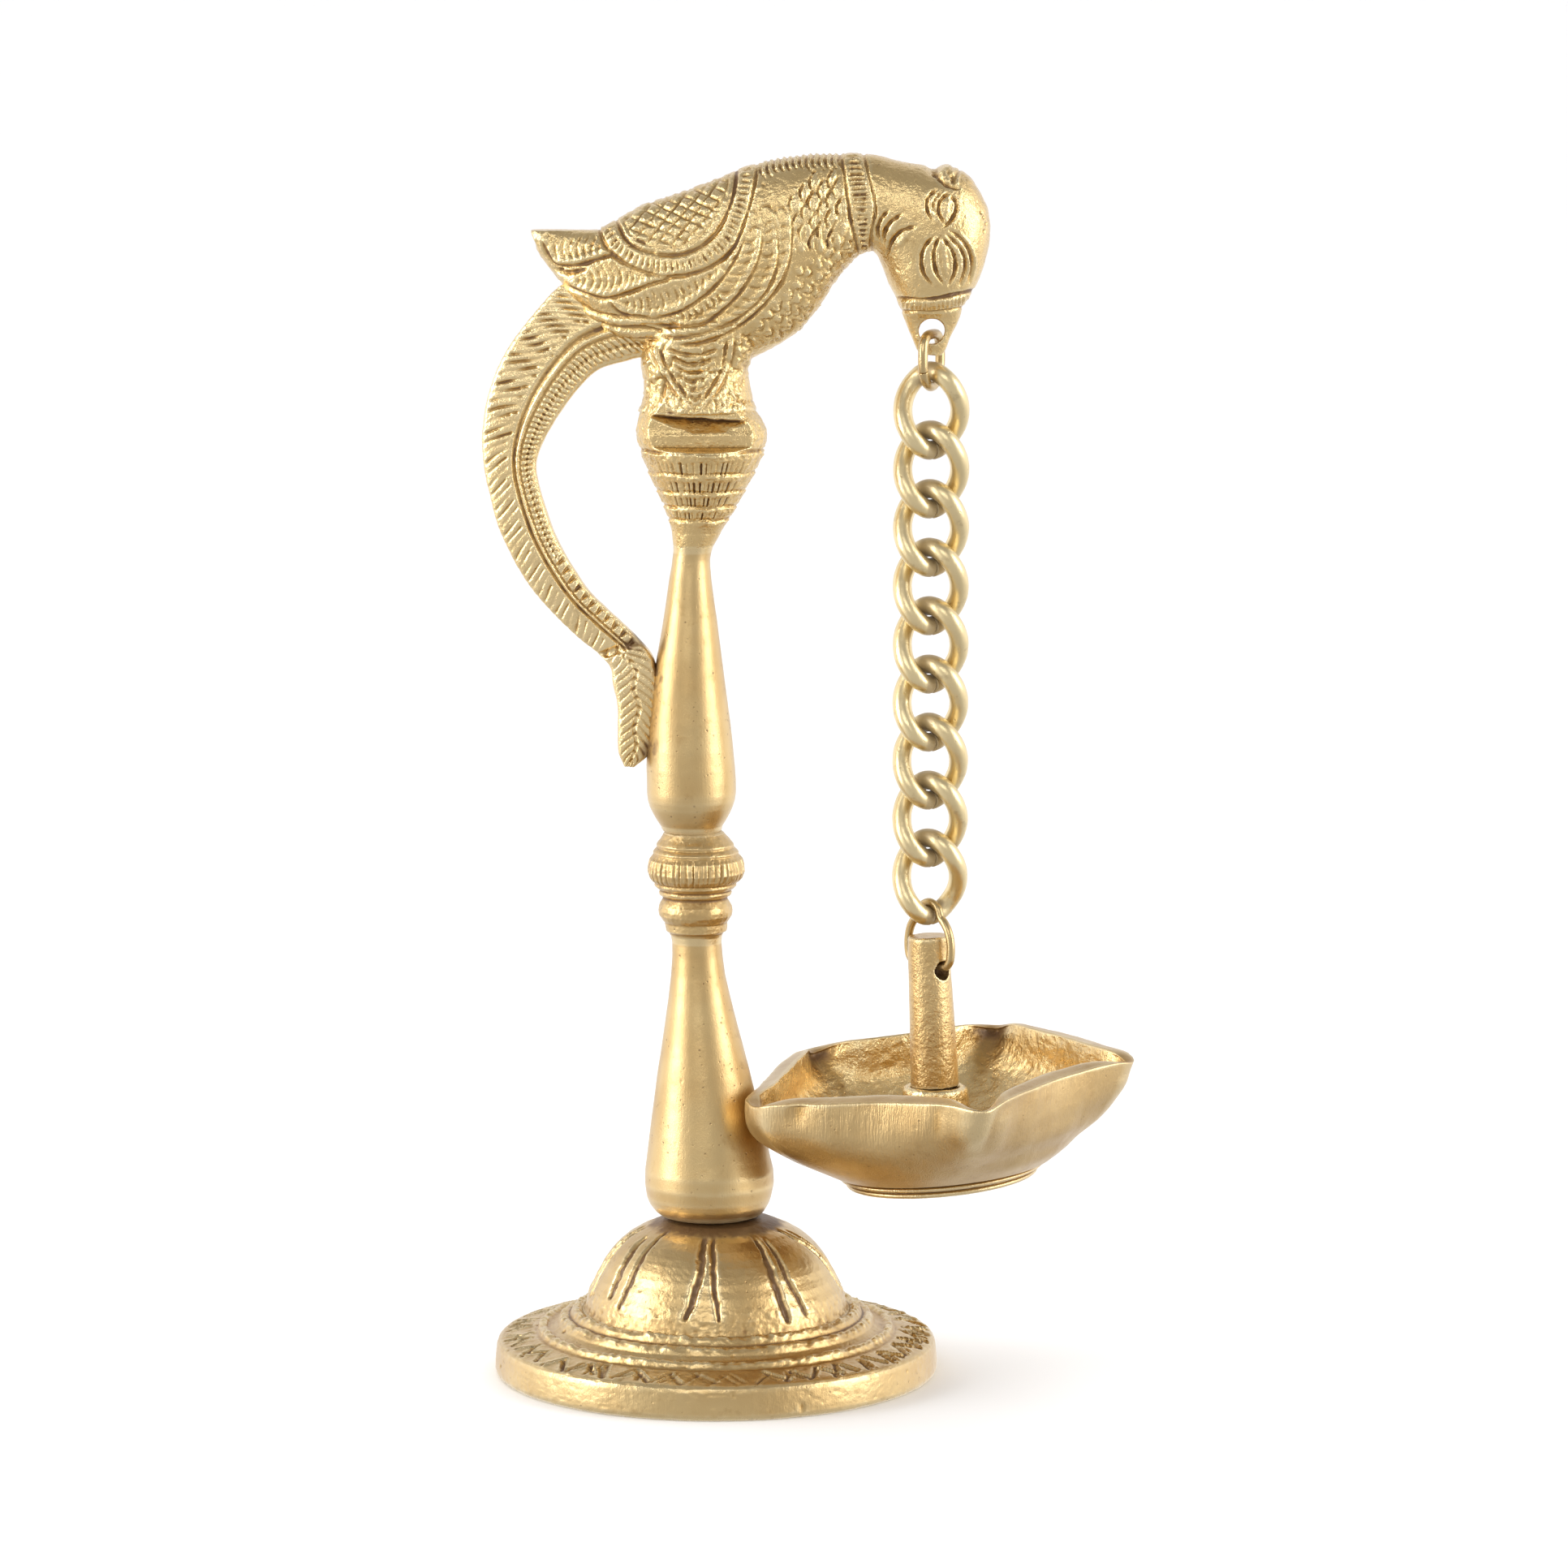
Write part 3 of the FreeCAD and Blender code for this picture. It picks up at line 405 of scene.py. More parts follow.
def make_piece(name, P, faces, body, nodes, mat, span=0.07, patina_and_shade=None, gain=1.0):
    P = np.asarray(P, float)
    faces = np.asarray(faces) if not isinstance(faces, list) else faces
    me = bpy.data.meshes.new(name)
    me.from_pydata((P * 0.001).tolist(), [], faces.tolist() if isinstance(faces, np.ndarray) else faces)
    me.validate()
    me.update()
    for p in me.polygons:
        p.use_smooth = True
    obj = bpy.data.objects.new(name, me)
    scene.collection.objects.link(obj)
    write_attributes(me, P, span, patina_and_shade, gain)
    me.materials.append(mat)
    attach(obj, body)
    if nodes:
        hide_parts(*nodes)
    return obj


def grid_faces(rows, cols, close_rows=False, caps=True):
    """Quads of a tube: rows along it, columns round it, and two end fans."""
    r = np.arange(rows if close_rows else rows - 1)
    c = np.arange(cols)
    R, C = np.meshgrid(r, c, indexing="ij")
    R2, C2 = (R + 1) % rows, (C + 1) % cols
    q = np.stack([R * cols + C, R * cols + C2, R2 * cols + C2, R2 * cols + C], -1).reshape(-1, 4)
    out = q.tolist()
    if caps and not close_rows:
        a, b = rows * cols, rows * cols + 1
        out += [[a, (k + 1) % cols, k] for k in range(cols)]
        last = (rows - 1) * cols
        out += [[b, last + k, last + (k + 1) % cols] for k in range(cols)]
    return out


def outward(P, faces):
    """Turns the faces so that their normals point out of the solid."""
    vol = 0.0
    for k in (3, 4):
        f = np.array([x for x in faces if len(x) == k])
        if not len(f):
            continue
        for j in range(1, k - 1):
            vol += np.einsum("ij,ij->i", P[f[:, 0]], np.cross(P[f[:, j]], P[f[:, j + 1]])).sum()
    return [x[::-1] for x in faces] if vol < 0 else faces


def tube_piece(name, grid, body, nodes, mat, span=0.07, patina_and_shade=None, close_rows=False, gain=1.0):
    rows, cols, _ = grid.shape
    P = grid.reshape(-1, 3)
    pt = patina_and_shade.reshape(-1) if patina_and_shade is not None else None
    if not close_rows:
        P = np.vstack([P, grid[0].mean(0), grid[-1].mean(0)])
        if pt is not None:
            pt = np.concatenate([pt, [pt[0], pt[-1]]])
    f = outward(P, grid_faces(rows, cols, close_rows))
    return make_piece(name, P, f, body, nodes, mat, span, pt, gain)


def sweep(path, radius, cols=20, start_normal=(0, 0, 1), ends=True, shape=None):
    """Round section carried along a path without twisting."""
    p = np.asarray(path, float)
    t = np.gradient(p, axis=0)
    t /= np.linalg.norm(t, axis=1)[:, None]
    n = np.array(start_normal, float)
    out = []
    rad = np.broadcast_to(radius, (len(p),))
    a = np.linspace(0, 2 * math.pi, cols, endpoint=False)
    for k in range(len(p)):
        n = n - t[k] * (n @ t[k])
        n /= np.linalg.norm(n)
        b = np.cross(t[k], n)
        prof = rad[k] * (shape(a, k) if shape else 1.0)
        out.append(p[k] + (np.cos(a) * prof)[:, None] * n + (np.sin(a) * prof)[:, None] * b)
    out = np.array(out)
    if ends:   # rounded cut ends
        first = [p[0] - t[0] * rad[0] * d + (out[0] - p[0]) * s for d, s in ((0.10, 0.80), (0.06, 0.93))]
        last = [p[-1] + t[-1] * rad[-1] * d + (out[-1] - p[-1]) * s for d, s in ((0.06, 0.93), (0.10, 0.80))]
        out = np.concatenate([np.array(first), out, np.array(last)])
    return out


def lathe(rows_z, centre, radius, cols, centre_y=0.0):
    a = np.linspace(0, 2 * math.pi, cols, endpoint=False)
    g = np.zeros((len(rows_z), cols, 3))
    g[:, :, 0] = np.asarray(centre)[:, None] + np.outer(radius, np.cos(a))
    g[:, :, 1] = centre_y + np.outer(radius, np.sin(a))
    g[:, :, 2] = np.asarray(rows_z)[:, None]
    return g, a


def bell(x, x0, w):
    return np.clip(1 - ((x - x0) / w) ** 2, 0, 1)


# ===================================================================== base
def interp_profile(table, count):
    """Rows (radius, z) along a profile, evenly spaced."""
    return curve_points(np.array(table, float), count)


def curve_points(p, count):
    s = np.concatenate([[0], np.cumsum(np.linalg.norm(np.diff(p, axis=0), axis=1))])
    g = np.linspace(0, s[-1], count)
    return np.stack([np.interp(g, s, p[:, k]) for k in range(p.shape[1])], 1)


# upper side, from the stem's seat over the dome and the three rings to the rim
top = [(5.1, 25.75), (7.0, 25.7), (8.6, 25.45), (10.3, 24.75), (12.56, 23.8), (14.44, 22.7), (15.78, 21.6),
       (16.85, 20.5), (17.72, 19.4), (18.46, 18.3), (19.0, 17.2), (19.67, 16.1), (20.14, 15.0),
       (20.74, 13.9), (21.1, 12.8), (21.35, 11.7), (21.5, 11.0), (21.75, 10.45), (22.05, 10.25),
       (22.35, 10.45), (22.75, 10.85), (23.2, 10.8), (23.65, 10.35), (23.95, 9.75), (24.2, 9.35),
       (24.5, 9.45), (25.0, 9.55), (25.5, 9.3), (25.9, 8.75), (26.2, 8.2), (26.8, 7.75), (27.4, 7.55),
       (27.75, 7.6), (28.1, 7.95), (28.6, 8.0), (29.05, 7.65), (29.3, 7.1), (29.6, 6.75), (30.2, 6.75),
       (31.5, 6.55), (33.2, 6.2), (34.9, 5.85), (35.5, 5.65), (35.95, 5.2), (36.15, 4.6), (36.3, 3.2),
       (36.4, 1.8), (36.4, 0.9), (36.2, 0.35), (35.8, 0.06)]
under = [(35.2, 0.0), (34.5, 0.0), (33.9, 0.12), (33.4, 0.9), (33.0, 2.5), (31.0, 3.4), (28.9, 4.1), (25.0, 5.6),
         (21.9, 7.2), (19.6, 9.0), (18.4, 10.6), (17.0, 13.7), (15.4, 16.8), (13.2, 19.4), (11.4, 20.7), (9.4, 21.4),
         (7.0, 21.4), (5.15, 21.4), (5.0, 21.6), (5.0, 23.4), (5.0, 25.6)]
def closed_profile(upper, lower, n_up, n_low):
    p = np.vstack([curve_points(np.array(upper, float), n_up), curve_points(np.array([upper[-1]] + lower + [upper[0]], float), n_low)[1:-1]])
    return p, np.r_[np.ones(n_up), np.zeros(len(p) - n_up)]


# strokes chiselled down the dome in pairs: (angle, height) stations from the
# top of each stroke to its foot, in degrees and mm
STROKES = [
    [(-152.0, 23.5), (-148.0, 19.4), (-148.0, 14.3)], [(-138.5, 24.5), (-137.0, 19.4), (-138.5, 13.1)],
    [(-98.5, 24.4), (-98.0, 20.4), (-103.5, 12.8)], [(-91.5, 24.4), (-91.0, 19.9), (-88.0, 12.6)],
    [(-57.0, 24.2), (-59.0, 19.1), (-56.0, 11.8)], [(-49.5, 23.9), (-50.5, 18.5), (-45.0, 12.1)],
    [(-24.0, 24.4), (-12.0, 20.0), (-4.0, 13.5)], [(-15.0, 23.9), (-3.0, 18.4), (5.0, 13.0)],
    [(28.0, 24.0), (33.0, 18.0), (34.0, 12.6)], [(35.0, 23.8), (41.0, 18.0), (45.0, 13.0)],
    [(70.0, 24.1), (72.0, 18.5), (71.0, 12.3)], [(77.0, 23.9), (80.0, 18.5), (84.0, 12.6)],
    [(110.0, 24.0), (108.0, 18.0), (104.0, 12.4)], [(116.0, 24.1), (118.0, 18.0), (117.0, 12.2)],
    [(152.0, 23.9), (150.0, 18.0), (146.0, 12.6)], [(158.0, 24.0), (158.0, 18.0), (157.0, 12.4)],
    [(-178.0, 24.0), (-176.0, 18.2), (-178.0, 12.6)], [(-171.0, 23.9), (-169.0, 18.0), (-170.0, 12.8)]]


def base_piece(name, prof, up_side, NA, nodes, seed):
    a = np.linspace(0, 2 * math.pi, NA, endpoint=False)
    R, Z = prof[:, 0][:, None] + 0 * a, prof[:, 1][:, None] + 0 * a
    A = 0 * R + a[None, :]
    U = up_side[:, None]
    d = np.roll(prof, -1, 0) - np.roll(prof, 1, 0)
    nrm = np.stack([-d[:, 1], d[:, 0]], 1)
    nrm /= np.maximum(np.linalg.norm(nrm, axis=1), 1e-9)[:, None]
    off = np.zeros_like(R)
    P3 = np.stack([R * np.cos(A), R * np.sin(A), Z], -1).reshape(-1, 3)
    off += 0.045 * fbm(P3, 0.9, 3, 3).reshape(R.shape) * U + 0.05 * fbm(P3, 7.0, 2, 4).reshape(R.shape) * U
    jag_n = fbm(P3, 0.9, 2, 9).reshape(R.shape)
    jag_m = fbm(P3, 2.2, 2, 12).reshape(R.shape)
    for k, pts in enumerate(STROKES):
        q = np.array(pts, float)[::-1]
        line = np.interp(Z, q[:, 1], q[:, 0])
        dist = np.radians((np.degrees(A) - line + 180) % 360 - 180) * R + 0.30 * jag_m
        t = np.clip((q[-1, 1] - Z) / (q[-1, 1] - q[0, 1]), -1, 2)
        wide = 0.76 * (0.5 + 0.6 * np.sin(np.pi * np.clip(0.1 + 0.8 * t, 0, 1))) * (1.12 if k % 2 == 0 else 0.85)
        live = smooth(-0.04, 0.05, t) * (1 - smooth(0.94, 1.03, t)) * U * (R < 21.4)
        off -= (0.62 if k % 2 == 0 else 0.5) * np.clip(1 - (dist / (wide * (1 + 0.35 * jag_n))) ** 2, 0, 1) * live
        off += 0.20 * np.clip(jag_n, -1, 1) * np.clip(1 - (dist / (wide * 1.1)) ** 2, 0, 1) * live
    # rough beaten rings
    for z0, r0, w, amp, per, sd in ((10.7, 23.0, 1.05, 0.15, 57, 1), (9.4, 25.1, 0.95, 0.13, 71, 2), (7.9, 28.5, 1.0, 0.15, 83, 3)):
        band = bell(R, r0, w) * U * (Z > 5)
        teeth = np.sin(A * per + 2.6 * np.sin(A * 7 + sd)) * (0.45 + 0.55 * np.sin(A * 11 + sd * 2))
        off += band * (amp * 0.55 * teeth + 0.28 * fbm(P3, 0.9, 3, 21 + sd).reshape(R.shape) + 0.30 * fbm(P3, 2.6, 2, 25 + sd).reshape(R.shape))
    off += bell(R, 21.4, 1.3) * U * (Z > 9) * 0.16 * fbm(P3, 0.8, 3, 29).reshape(R.shape)
    # crossed strokes between the outer ring and the rim, cut by hand as a
    # zigzag of doubled lines of uneven length
    rs = np.random.RandomState(7)
    count = 40
    for k in range(count):
        a0 = 2 * math.pi * (k + rs.uniform(-0.30, 0.30)) / count
        gap = 2 * math.pi / count
        for (s0, s1, shift) in ((0.02, 0.50, 0.0), (0.98, 0.50, 0.0), (0.10, 0.44, 0.17), (0.90, 0.56, -0.17)):
            if shift and rs.rand() < 0.18:
                continue
            r_in, r_out = 30.1 + rs.uniform(0, 1.3), 35.3 - rs.uniform(0, 1.1)
            b0, b1 = a0 + gap * (s0 + shift * 0.6) + rs.uniform(-0.025, 0.025), a0 + gap * (s1 + shift * 0.2) + rs.uniform(-0.03, 0.03)
            if shift:
                r_in += 0.9
            mid_a = (b0 + b1) / 2
            da = (A - mid_a + math.pi) % (2 * math.pi) - math.pi
            x, y = da * 32.7, R - 32.7
            p0, p1 = np.array([(b0 - mid_a) * 32.7, r_out - 32.7]), np.array([(b1 - mid_a) * 32.7, r_in - 32.7])
            v_ = p1 - p0
            ln = np.linalg.norm(v_)
            v_ /= ln
            along = (x - p0[0]) * v_[0] + (y - p0[1]) * v_[1]
            side = (x - p0[0]) * -v_[1] + (y - p0[1]) * v_[0] + 0.10 * jag_n
            live = smooth(-0.3, 0.3, along) * (1 - smooth(ln - 0.4, ln + 0.25, along)) * (np.abs(da) < 0.5) * U * (Z > 5.3)
            depth = rs.uniform(0.36, 0.62) * (0.75 if shift else 1.0)
            depth *= 0.45 + 0.55 * float(smooth(6, 26, abs(math.degrees(mid_a) % 360 - 272)))
            off -= depth * live * np.clip(1 - (side / (0.46 if not shift else 0.36)) ** 2, 0, 1)
            off += 0.35 * depth * live * np.clip(1 - ((side - 0.62) / 0.34) ** 2, 0, 1)
    off += 0.16 * fbm(P3, 1.1, 3, 35).reshape(R.shape) * U * smooth(29.3, 30.3, R) * (1 - smooth(34.4, 35.6, R)) * (Z > 5)
    nick = pits(P3, 2.6, 31, 0.32, 0.08, 0.2).reshape(R.shape)
    off -= 0.22 * nick * U
    off -= 0.12 * pits(P3, 0.9, 33, 0.10, 0.14, 0.28).reshape(R.shape) * U
    rim = (Z < 5.4) & (R > 35.5)
    off -= np.where(rim, 0.10 * np.clip(fbm(P3 * [1, 1, 2.2], 1.6, 3, 41).reshape(R.shape), 0, 1)
                    + 0.30 * pits(P3 * [1, 1, 0.5], 3.4, 43, 0.22, 0.10, 0.22).reshape(R.shape), 0)
    R2 = R + off * nrm[:, 0][:, None]
    Z2 = Z + off * nrm[:, 1][:, None]
    Z2 = np.where(Z < 0.3, np.maximum(Z2, 0.0), Z2)
    # noise that breaks up both dirt patches and the painted shade in the cut strokes
    mottle = 0.5 + 0.5 * fbm(P3, 1.6, 3, 47).reshape(R.shape)
    dark = (smooth(23.7, 25.2, Z) * (0.55 + 0.75 * mottle) + 0.30 * smooth(21.5, 24.5, Z) * mottle) * U * (R < 13.5)
    dark += U * bell(R, 21.7, 1.0) * (Z > 9) * (0.15 + 0.45 * mottle)
    dark += U * (bell(R, 24.2, 0.35) * (Z > 8.8) + bell(R, 22.1, 0.45) * (Z > 9.5)) * 0.4
    # cut strokes darkened: patina, strengthened with painted shade
    dark += 0.85 * smooth(0.18, 0.45, -off) * U * (0.45 + 0.55 * smooth(0.35, 0.7, mottle))
    dark += 0.5 * smooth(0.55, 0.9, mottle) * U * bell(R, 26.8, 1.6) * (Z > 5) + 0.35 * smooth(0.5, 0.8, mottle) * U * (R > 29.6) * (R < 35.2)
    g = np.stack([R2 * np.cos(A), R2 * np.sin(A), Z2], -1)
    tube_piece(name, g, "stand", nodes, M_BASE, 0.17, np.clip(dark, 0, 1), close_rows=True)


cut_at = [k for k, q in enumerate(top) if q == (22.05, 10.25)][0]
under_in = [q for q in under if q[0] < 21.95]
under_out = [q for q in under if q[0] > 21.85]
p_, u_ = closed_profile(top[:cut_at + 1], [(22.0, 8.6)] + under_in, 150, 54)
base_piece("lamp_base_dome", p_, u_, 480, [], 0)
p_, u_ = closed_profile(top[cut_at:], under_out + [(22.0, 8.6)], 116, 34)
base_piece("lamp_base_flange", p_, u_, 660, ["base_casting"], 1)

# ============================================================== lower column
table = [(25.95, -0.9, 7.2), (26.3, -0.88, 8.3), (27.0, -1.0, 9.08), (28.1, -1.1, 9.82), (29.2, -1.12, 10.22), (31.4, -1.05, 10.61),
         (33.6, -1.08, 10.54), (35.7, -1.2, 10.14), (39.0, -1.34, 9.60), (44.4, -1.66, 8.60), (49.9, -1.95, 7.59),
         (53.1, -2.11, 6.92), (57.4, -2.36, 6.05), (61.8, -2.6, 5.19), (66.1, -2.85, 4.45), (69.3, -2.98, 4.12),
         (71.5, -3.07, 4.05), (72.6, -3.12, 4.2), (73.2, -3.14, 4.45), (73.5, -3.14, 4.95), (74.3, -3.16, 5.05),
         (74.9, -3.2, 5.1), (75.3, -3.22, 5.45), (76.1, -3.25, 5.95), (76.9, -3.28, 6.08), (77.7, -3.3, 5.95),
         (78.3, -3.3, 5.6), (78.8, -3.3, 5.28), (79.1, -3.3, 5.3), (79.5, -3.3, 5.85), (79.9, -3.28, 5.95),
         (80.25, -3.27, 5.75), (80.5, -3.27, 6.2), (81.0, -3.26, 6.75), (81.5, -3.25, 6.7), (81.8, -3.23, 7.2),
         (82.3, -3.2, 7.65), (83.3, -3.18, 8.0), (84.4, -3.18, 7.92), (85.3, -3.18, 7.7), (85.8, -3.18, 7.25),
         (86.2, -3.2, 6.95), (86.55, -3.2, 7.02), (86.9, -3.22, 6.75), (87.3, -3.25, 6.3), (87.8, -3.3, 6.35),
         (88.2, -3.32, 6.05), (88.7, -3.35, 5.6), (89.3, -3.45, 5.15), (89.7, -3.5, 4.9), (89.95, -3.55, 4.6)]
tb = np.array(table)


def column_rows(z0, z1, count):
    return np.concatenate([[z0, z0 + 0.015], np.linspace(z0 + 0.1, z1 - 0.1, count), [z1 - 0.015, z1]])


for name_, z0_, z1_, count_, cols_, nodes_ in (("lamp_lower_stem", 25.95, 72.4, 150, 200, []), ("lamp_knuckle", 72.4, 89.95, 170, 400, ["lower_stem", "stem_joining_stud"])):
    rows = column_rows(z0_, z1_, count_)
    c, r = np.interp(rows, tb[:, 0], tb[:, 1]), np.interp(rows, tb[:, 0], tb[:, 2])
    g, a = lathe(rows, c, r, cols_)
    P3 = g.reshape(-1, 3)
    Zg = g[:, :, 2]
    off = 0.035 * fbm(P3 * [1, 1, 0.6], 3.0, 3, 51) + 0.07 * fbm(P3 * [1, 1, 0.5], 9.0, 2, 52)
    off -= 0.16 * pits(P3, 1.5, 53, 0.20, 0.06, 0.15)
    off = off.reshape(Zg.shape)
    knuckle = smooth(72.5, 74.0, Zg)
    off += knuckle * (0.11 * fbm(P3, 0.9, 3, 54) + 0.10 * fbm(P3, 2.6, 2, 55)).reshape(Zg.shape)
    fl = bell(Zg, 83.6, 2.3) ** 0.55
    ph = a[None, :] * 50 + 1.5 * np.sin(a * 9)[None, :] + 0.5 * np.sin(a * 23)[None, :] + 0.25 * (Zg - 83) * np.sin(a * 14)[None, :]
    off -= fl * 0.36 * np.clip(np.cos(ph) * 1.8 - 0.75, 0, 1) * np.clip(0.70 + 0.55 * np.sin(a * 13 + 1) * np.sin(a * 5), 0.12, 1.1)[None, :]
    mottle = 0.5 + 0.5 * fbm(P3, 1.4, 3, 56).reshape(Zg.shape)
    dark = (1 - smooth(26.2, 28.2, Zg)) * (0.5 + 0.8 * mottle) + bell(Zg, 79.0, 0.6) * 0.5 + bell(Zg, 80.3, 0.4) * 0.4 + smooth(88.8, 89.9, Zg) * 0.8
    dark += bell(Zg, 73.2, 0.8) * 0.4 + bell(Zg, 86.2, 0.5) * 0.3 * mottle + bell(Zg, 74.8, 0.35) * 0.3
    rad = r[:, None] + off
    g[:, :, 0] = c[:, None] + rad * np.cos(a)
    g[:, :, 1] = rad * np.sin(a)
    tube_piece(name_, g, "stand", nodes_, M_STEM, 0.15, np.clip(dark, 0, 1))

# ==================================================== upper column and capital
table = [(89.95, -3.75, 4.7), (90.3, -3.8, 4.95), (90.8, -3.85, 5.05), (91.9, -3.88, 5.76), (93.0, -3.89, 6.35), (94.0, -3.92, 6.82),
         (95.1, -3.9, 7.15), (96.2, -3.89, 7.28), (98.3, -3.9, 7.28), (100.4, -4.0, 7.24), (103.7, -4.12, 7.05),
         (107.9, -4.2, 6.68), (113.3, -4.26, 6.02), (118.6, -4.2, 5.28), (122.8, -4.1, 4.62), (127.1, -4.06, 3.98),
         (131.3, -4.02, 3.42), (133.4, -3.92, 3.14), (134.5, -3.87, 3.06), (135.6, -3.7, 3.08), (136.6, -3.54, 3.25),
         (138.7, -3.07, 3.95)]
v_rings = [(655, 4.0), (648, 4.4), (641, 4.85), (638, 5.0), (630, 5.55), (621, 6.0), (612, 6.65), (603.5, 7.2), (593, 7.85),
           (581, 8.7), (577, 8.85), (561, 9.75), (554, 10.0), (551, 10.1), (544, 10.4), (536, 10.6), (529, 10.55), (521, 10.28), (517.5, 10.1),
           (514, 9.9), (511, 9.7), (507, 9.4), (500, 9.0), (492, 8.5)]
for v, rr in v_rings:
    z = level(v)
    cc = np.interp(z, [138.7, 141, 143, 147, 151, 156.7], [-3.07, -2.67, -2.41, -2.14, -2.0, -2.2])
    if v < 529:
        cc = float(np.interp(v, [489, 505, 521, 529], [-3.0, -2.8, -2.35, -2.2]))
    if z > table[-1][0]:
        table.append((z, cc, rr))
tb = np.array(table)
for name_, z0_, z1_, count_, cols_ in (("lamp_upper_stem", 89.95, 136.5, 140, 210), ("lamp_capital", 136.5, tb[-1, 0], 214, 430)):
    rows = column_rows(z0_, z1_, count_)
    c, r = np.interp(rows, tb[:, 0], tb[:, 1]), np.interp(rows, tb[:, 0], tb[:, 2])
    g, a = lathe(rows, c, r, cols_)
    P3 = g.reshape(-1, 3)
    Zg = g[:, :, 2]
    shape = Zg.shape
    off = 0.035 * fbm(P3 * [1, 1, 0.6], 3.0, 3, 61) + 0.07 * fbm(P3 * [1, 1, 0.5], 9.0, 2, 62)
    off -= 0.16 * pits(P3, 1.3, 63, 0.24, 0.06, 0.16)
    off = off.reshape(shape)
    cap = smooth(level(655), level(640), Zg)
    fa = np.abs(np.sin(a))[None, :]
    front = smooth(0.60, 0.84, fa)
    off += cap * (0.10 + 0.10 * (1 - front)) * fbm(P3, 0.9, 3, 64).reshape(shape) + cap * 0.10 * fbm(P3, 2.5, 2, 65).reshape(shape)
    flute = 0 * Zg
    for k, (v0, v1, nn) in enumerate(((563, 579, 58), (588, 602, 54), (607.5, 620, 48), (627, 636.5, 40))):
        za, zb = level(v1), level(v0)
        band = smooth(za - 0.10, za + 0.15, Zg) * (1 - smooth(zb - 0.5, zb + 0.1, Zg))
        ph = a[None, :] * nn + 2.2 * np.sin(a * 5 + k)[None, :] + 0.9 * np.sin(a * 17)[None, :]
        on = np.clip(0.25 + smooth(-0.5, 0.5, np.sin(a * 15 + k * 1.7) + 0.6 * np.sin(a * 31 + k)), 0, 1)[None, :]
        flute = np.maximum(flute, band * front * on * np.clip(np.cos(ph) * 1.5 - 0.25, 0, 1))
    off -= 0.62 * flute
    for v0 in (558, 584.5, 604.5, 624.5, 641):      # lumpy strip at the head of each band
        off += 0.20 * bell(Zg, level(v0), 0.75) * np.clip(0.3 + fbm(P3, 0.75, 2, 69), -0.4, 1).reshape(shape)
    for v in (553, 580.5, 603, 622, 638.5):
        z = level(v)
        wob = 0.10 * np.sin(a * 6 + v)[None, :]
        off -= 0.34 * bell(Zg, z + 0.12 + wob, 0.40) * (0.75 + 0.25 * np.sin(a * 7 + v))[None, :]
    rad = r[:, None] + off
    g[:, :, 0] = c[:, None] + rad * np.cos(a)
    g[:, :, 1] = rad * np.sin(a)
    # the side nearest the tail is filed flat
    flat_x = np.interp(Zg, [level(690), level(660), level(640), level(600), level(550), level(530), level(490)], [-20.0, -7.2, -8.2, -10.5, -12.55, -12.75, -11.6])
    g[:, :, 0] = np.maximum(g[:, :, 0], flat_x - 0.04 * fbm(P3, 2.0, 2, 66).reshape(shape))
    # the seat is filed to a straight ledge in front and behind, and hollowed above it
    across = (g[:, :, 0] - c[:, None]) / 7.6
    bow = np.clip(across ** 2, 0, 1)
    row_v = 500 + (Zg - level(500)) / (level(501) - level(500))
    v_t = 511.2 + 3.8 * across + 1.2 * fbm(P3, 1.4, 2, 60).reshape(shape)
    t_ = (row_v - v_t) / (4.0 + 14.5 * (1 - bow))
    cut_in = 2.1 * np.sqrt(1 - bow) * np.clip(1 - t_, 0, 1) ** 1.25 * smooth(-1.5, 0.5, row_v - v_t)
    lim = np.interp(row_v, [500, 526, 532, 546, 551, 556], [7.1, 7.15, 7.5, 7.35, 8.6, 20.0]) - 0.75 * np.clip(across ** 2, 0, 1.3)
    lim = lim - np.clip(cut_in, 0, None) + 0.10 * fbm(P3, 0.9, 3, 67).reshape(shape)
    g[:, :, 1] = np.clip(g[:, :, 1], -lim, lim)
    # painted shade in the hollow above the ledge, darkest at its top under the bird's legs, broken up by noise
    hollow_shade = np.clip(cut_in / 1.6, 0, 1) * (fa > 0.45)
    mottle = 0.5 + 0.5 * fbm(P3, 1.2, 3, 68).reshape(shape)
    dark = (1 - smooth(90.0, 91.0, Zg)) * 0.8 + bell(Zg, level(553), 0.4) * 0.4 + hollow_shade * (0.10 + 0.75 * smooth(0.25, 0.75, mottle)) * np.clip(1.1 - 2.2 * t_, 0.06, 1)
    dark = dark + flute * (0.35 + 0.75 * smooth(0.35, 0.8, mottle))
    left = smooth(0.45, 0.95, -np.cos(a))[None, :]
    braze = (np.exp(-((Zg - level(826)) / 2.4) ** 2) + np.exp(-((Zg - level(922)) / 2.6) ** 2)
             + 0.35 * np.exp(-((Zg - level(870)) / 7.0) ** 2)) * left
    # painted shadow of the tail down the stem's left side, between the capital and the tail, broken up by noise
    tail_shadow = smooth(level(960), level(900), Zg) * smooth(level(640), level(665), Zg) * left * smooth(0.30, 0.7, mottle)
    dark = np.clip(dark + 0.55 * braze * smooth(0.25, 0.65, mottle) + 0.42 * tail_shadow, 0, 1)
    tube_piece(name_, g, "stand", [], M_STEM if name_ == "lamp_upper_stem" else M_BIRD, 0.15, dark)


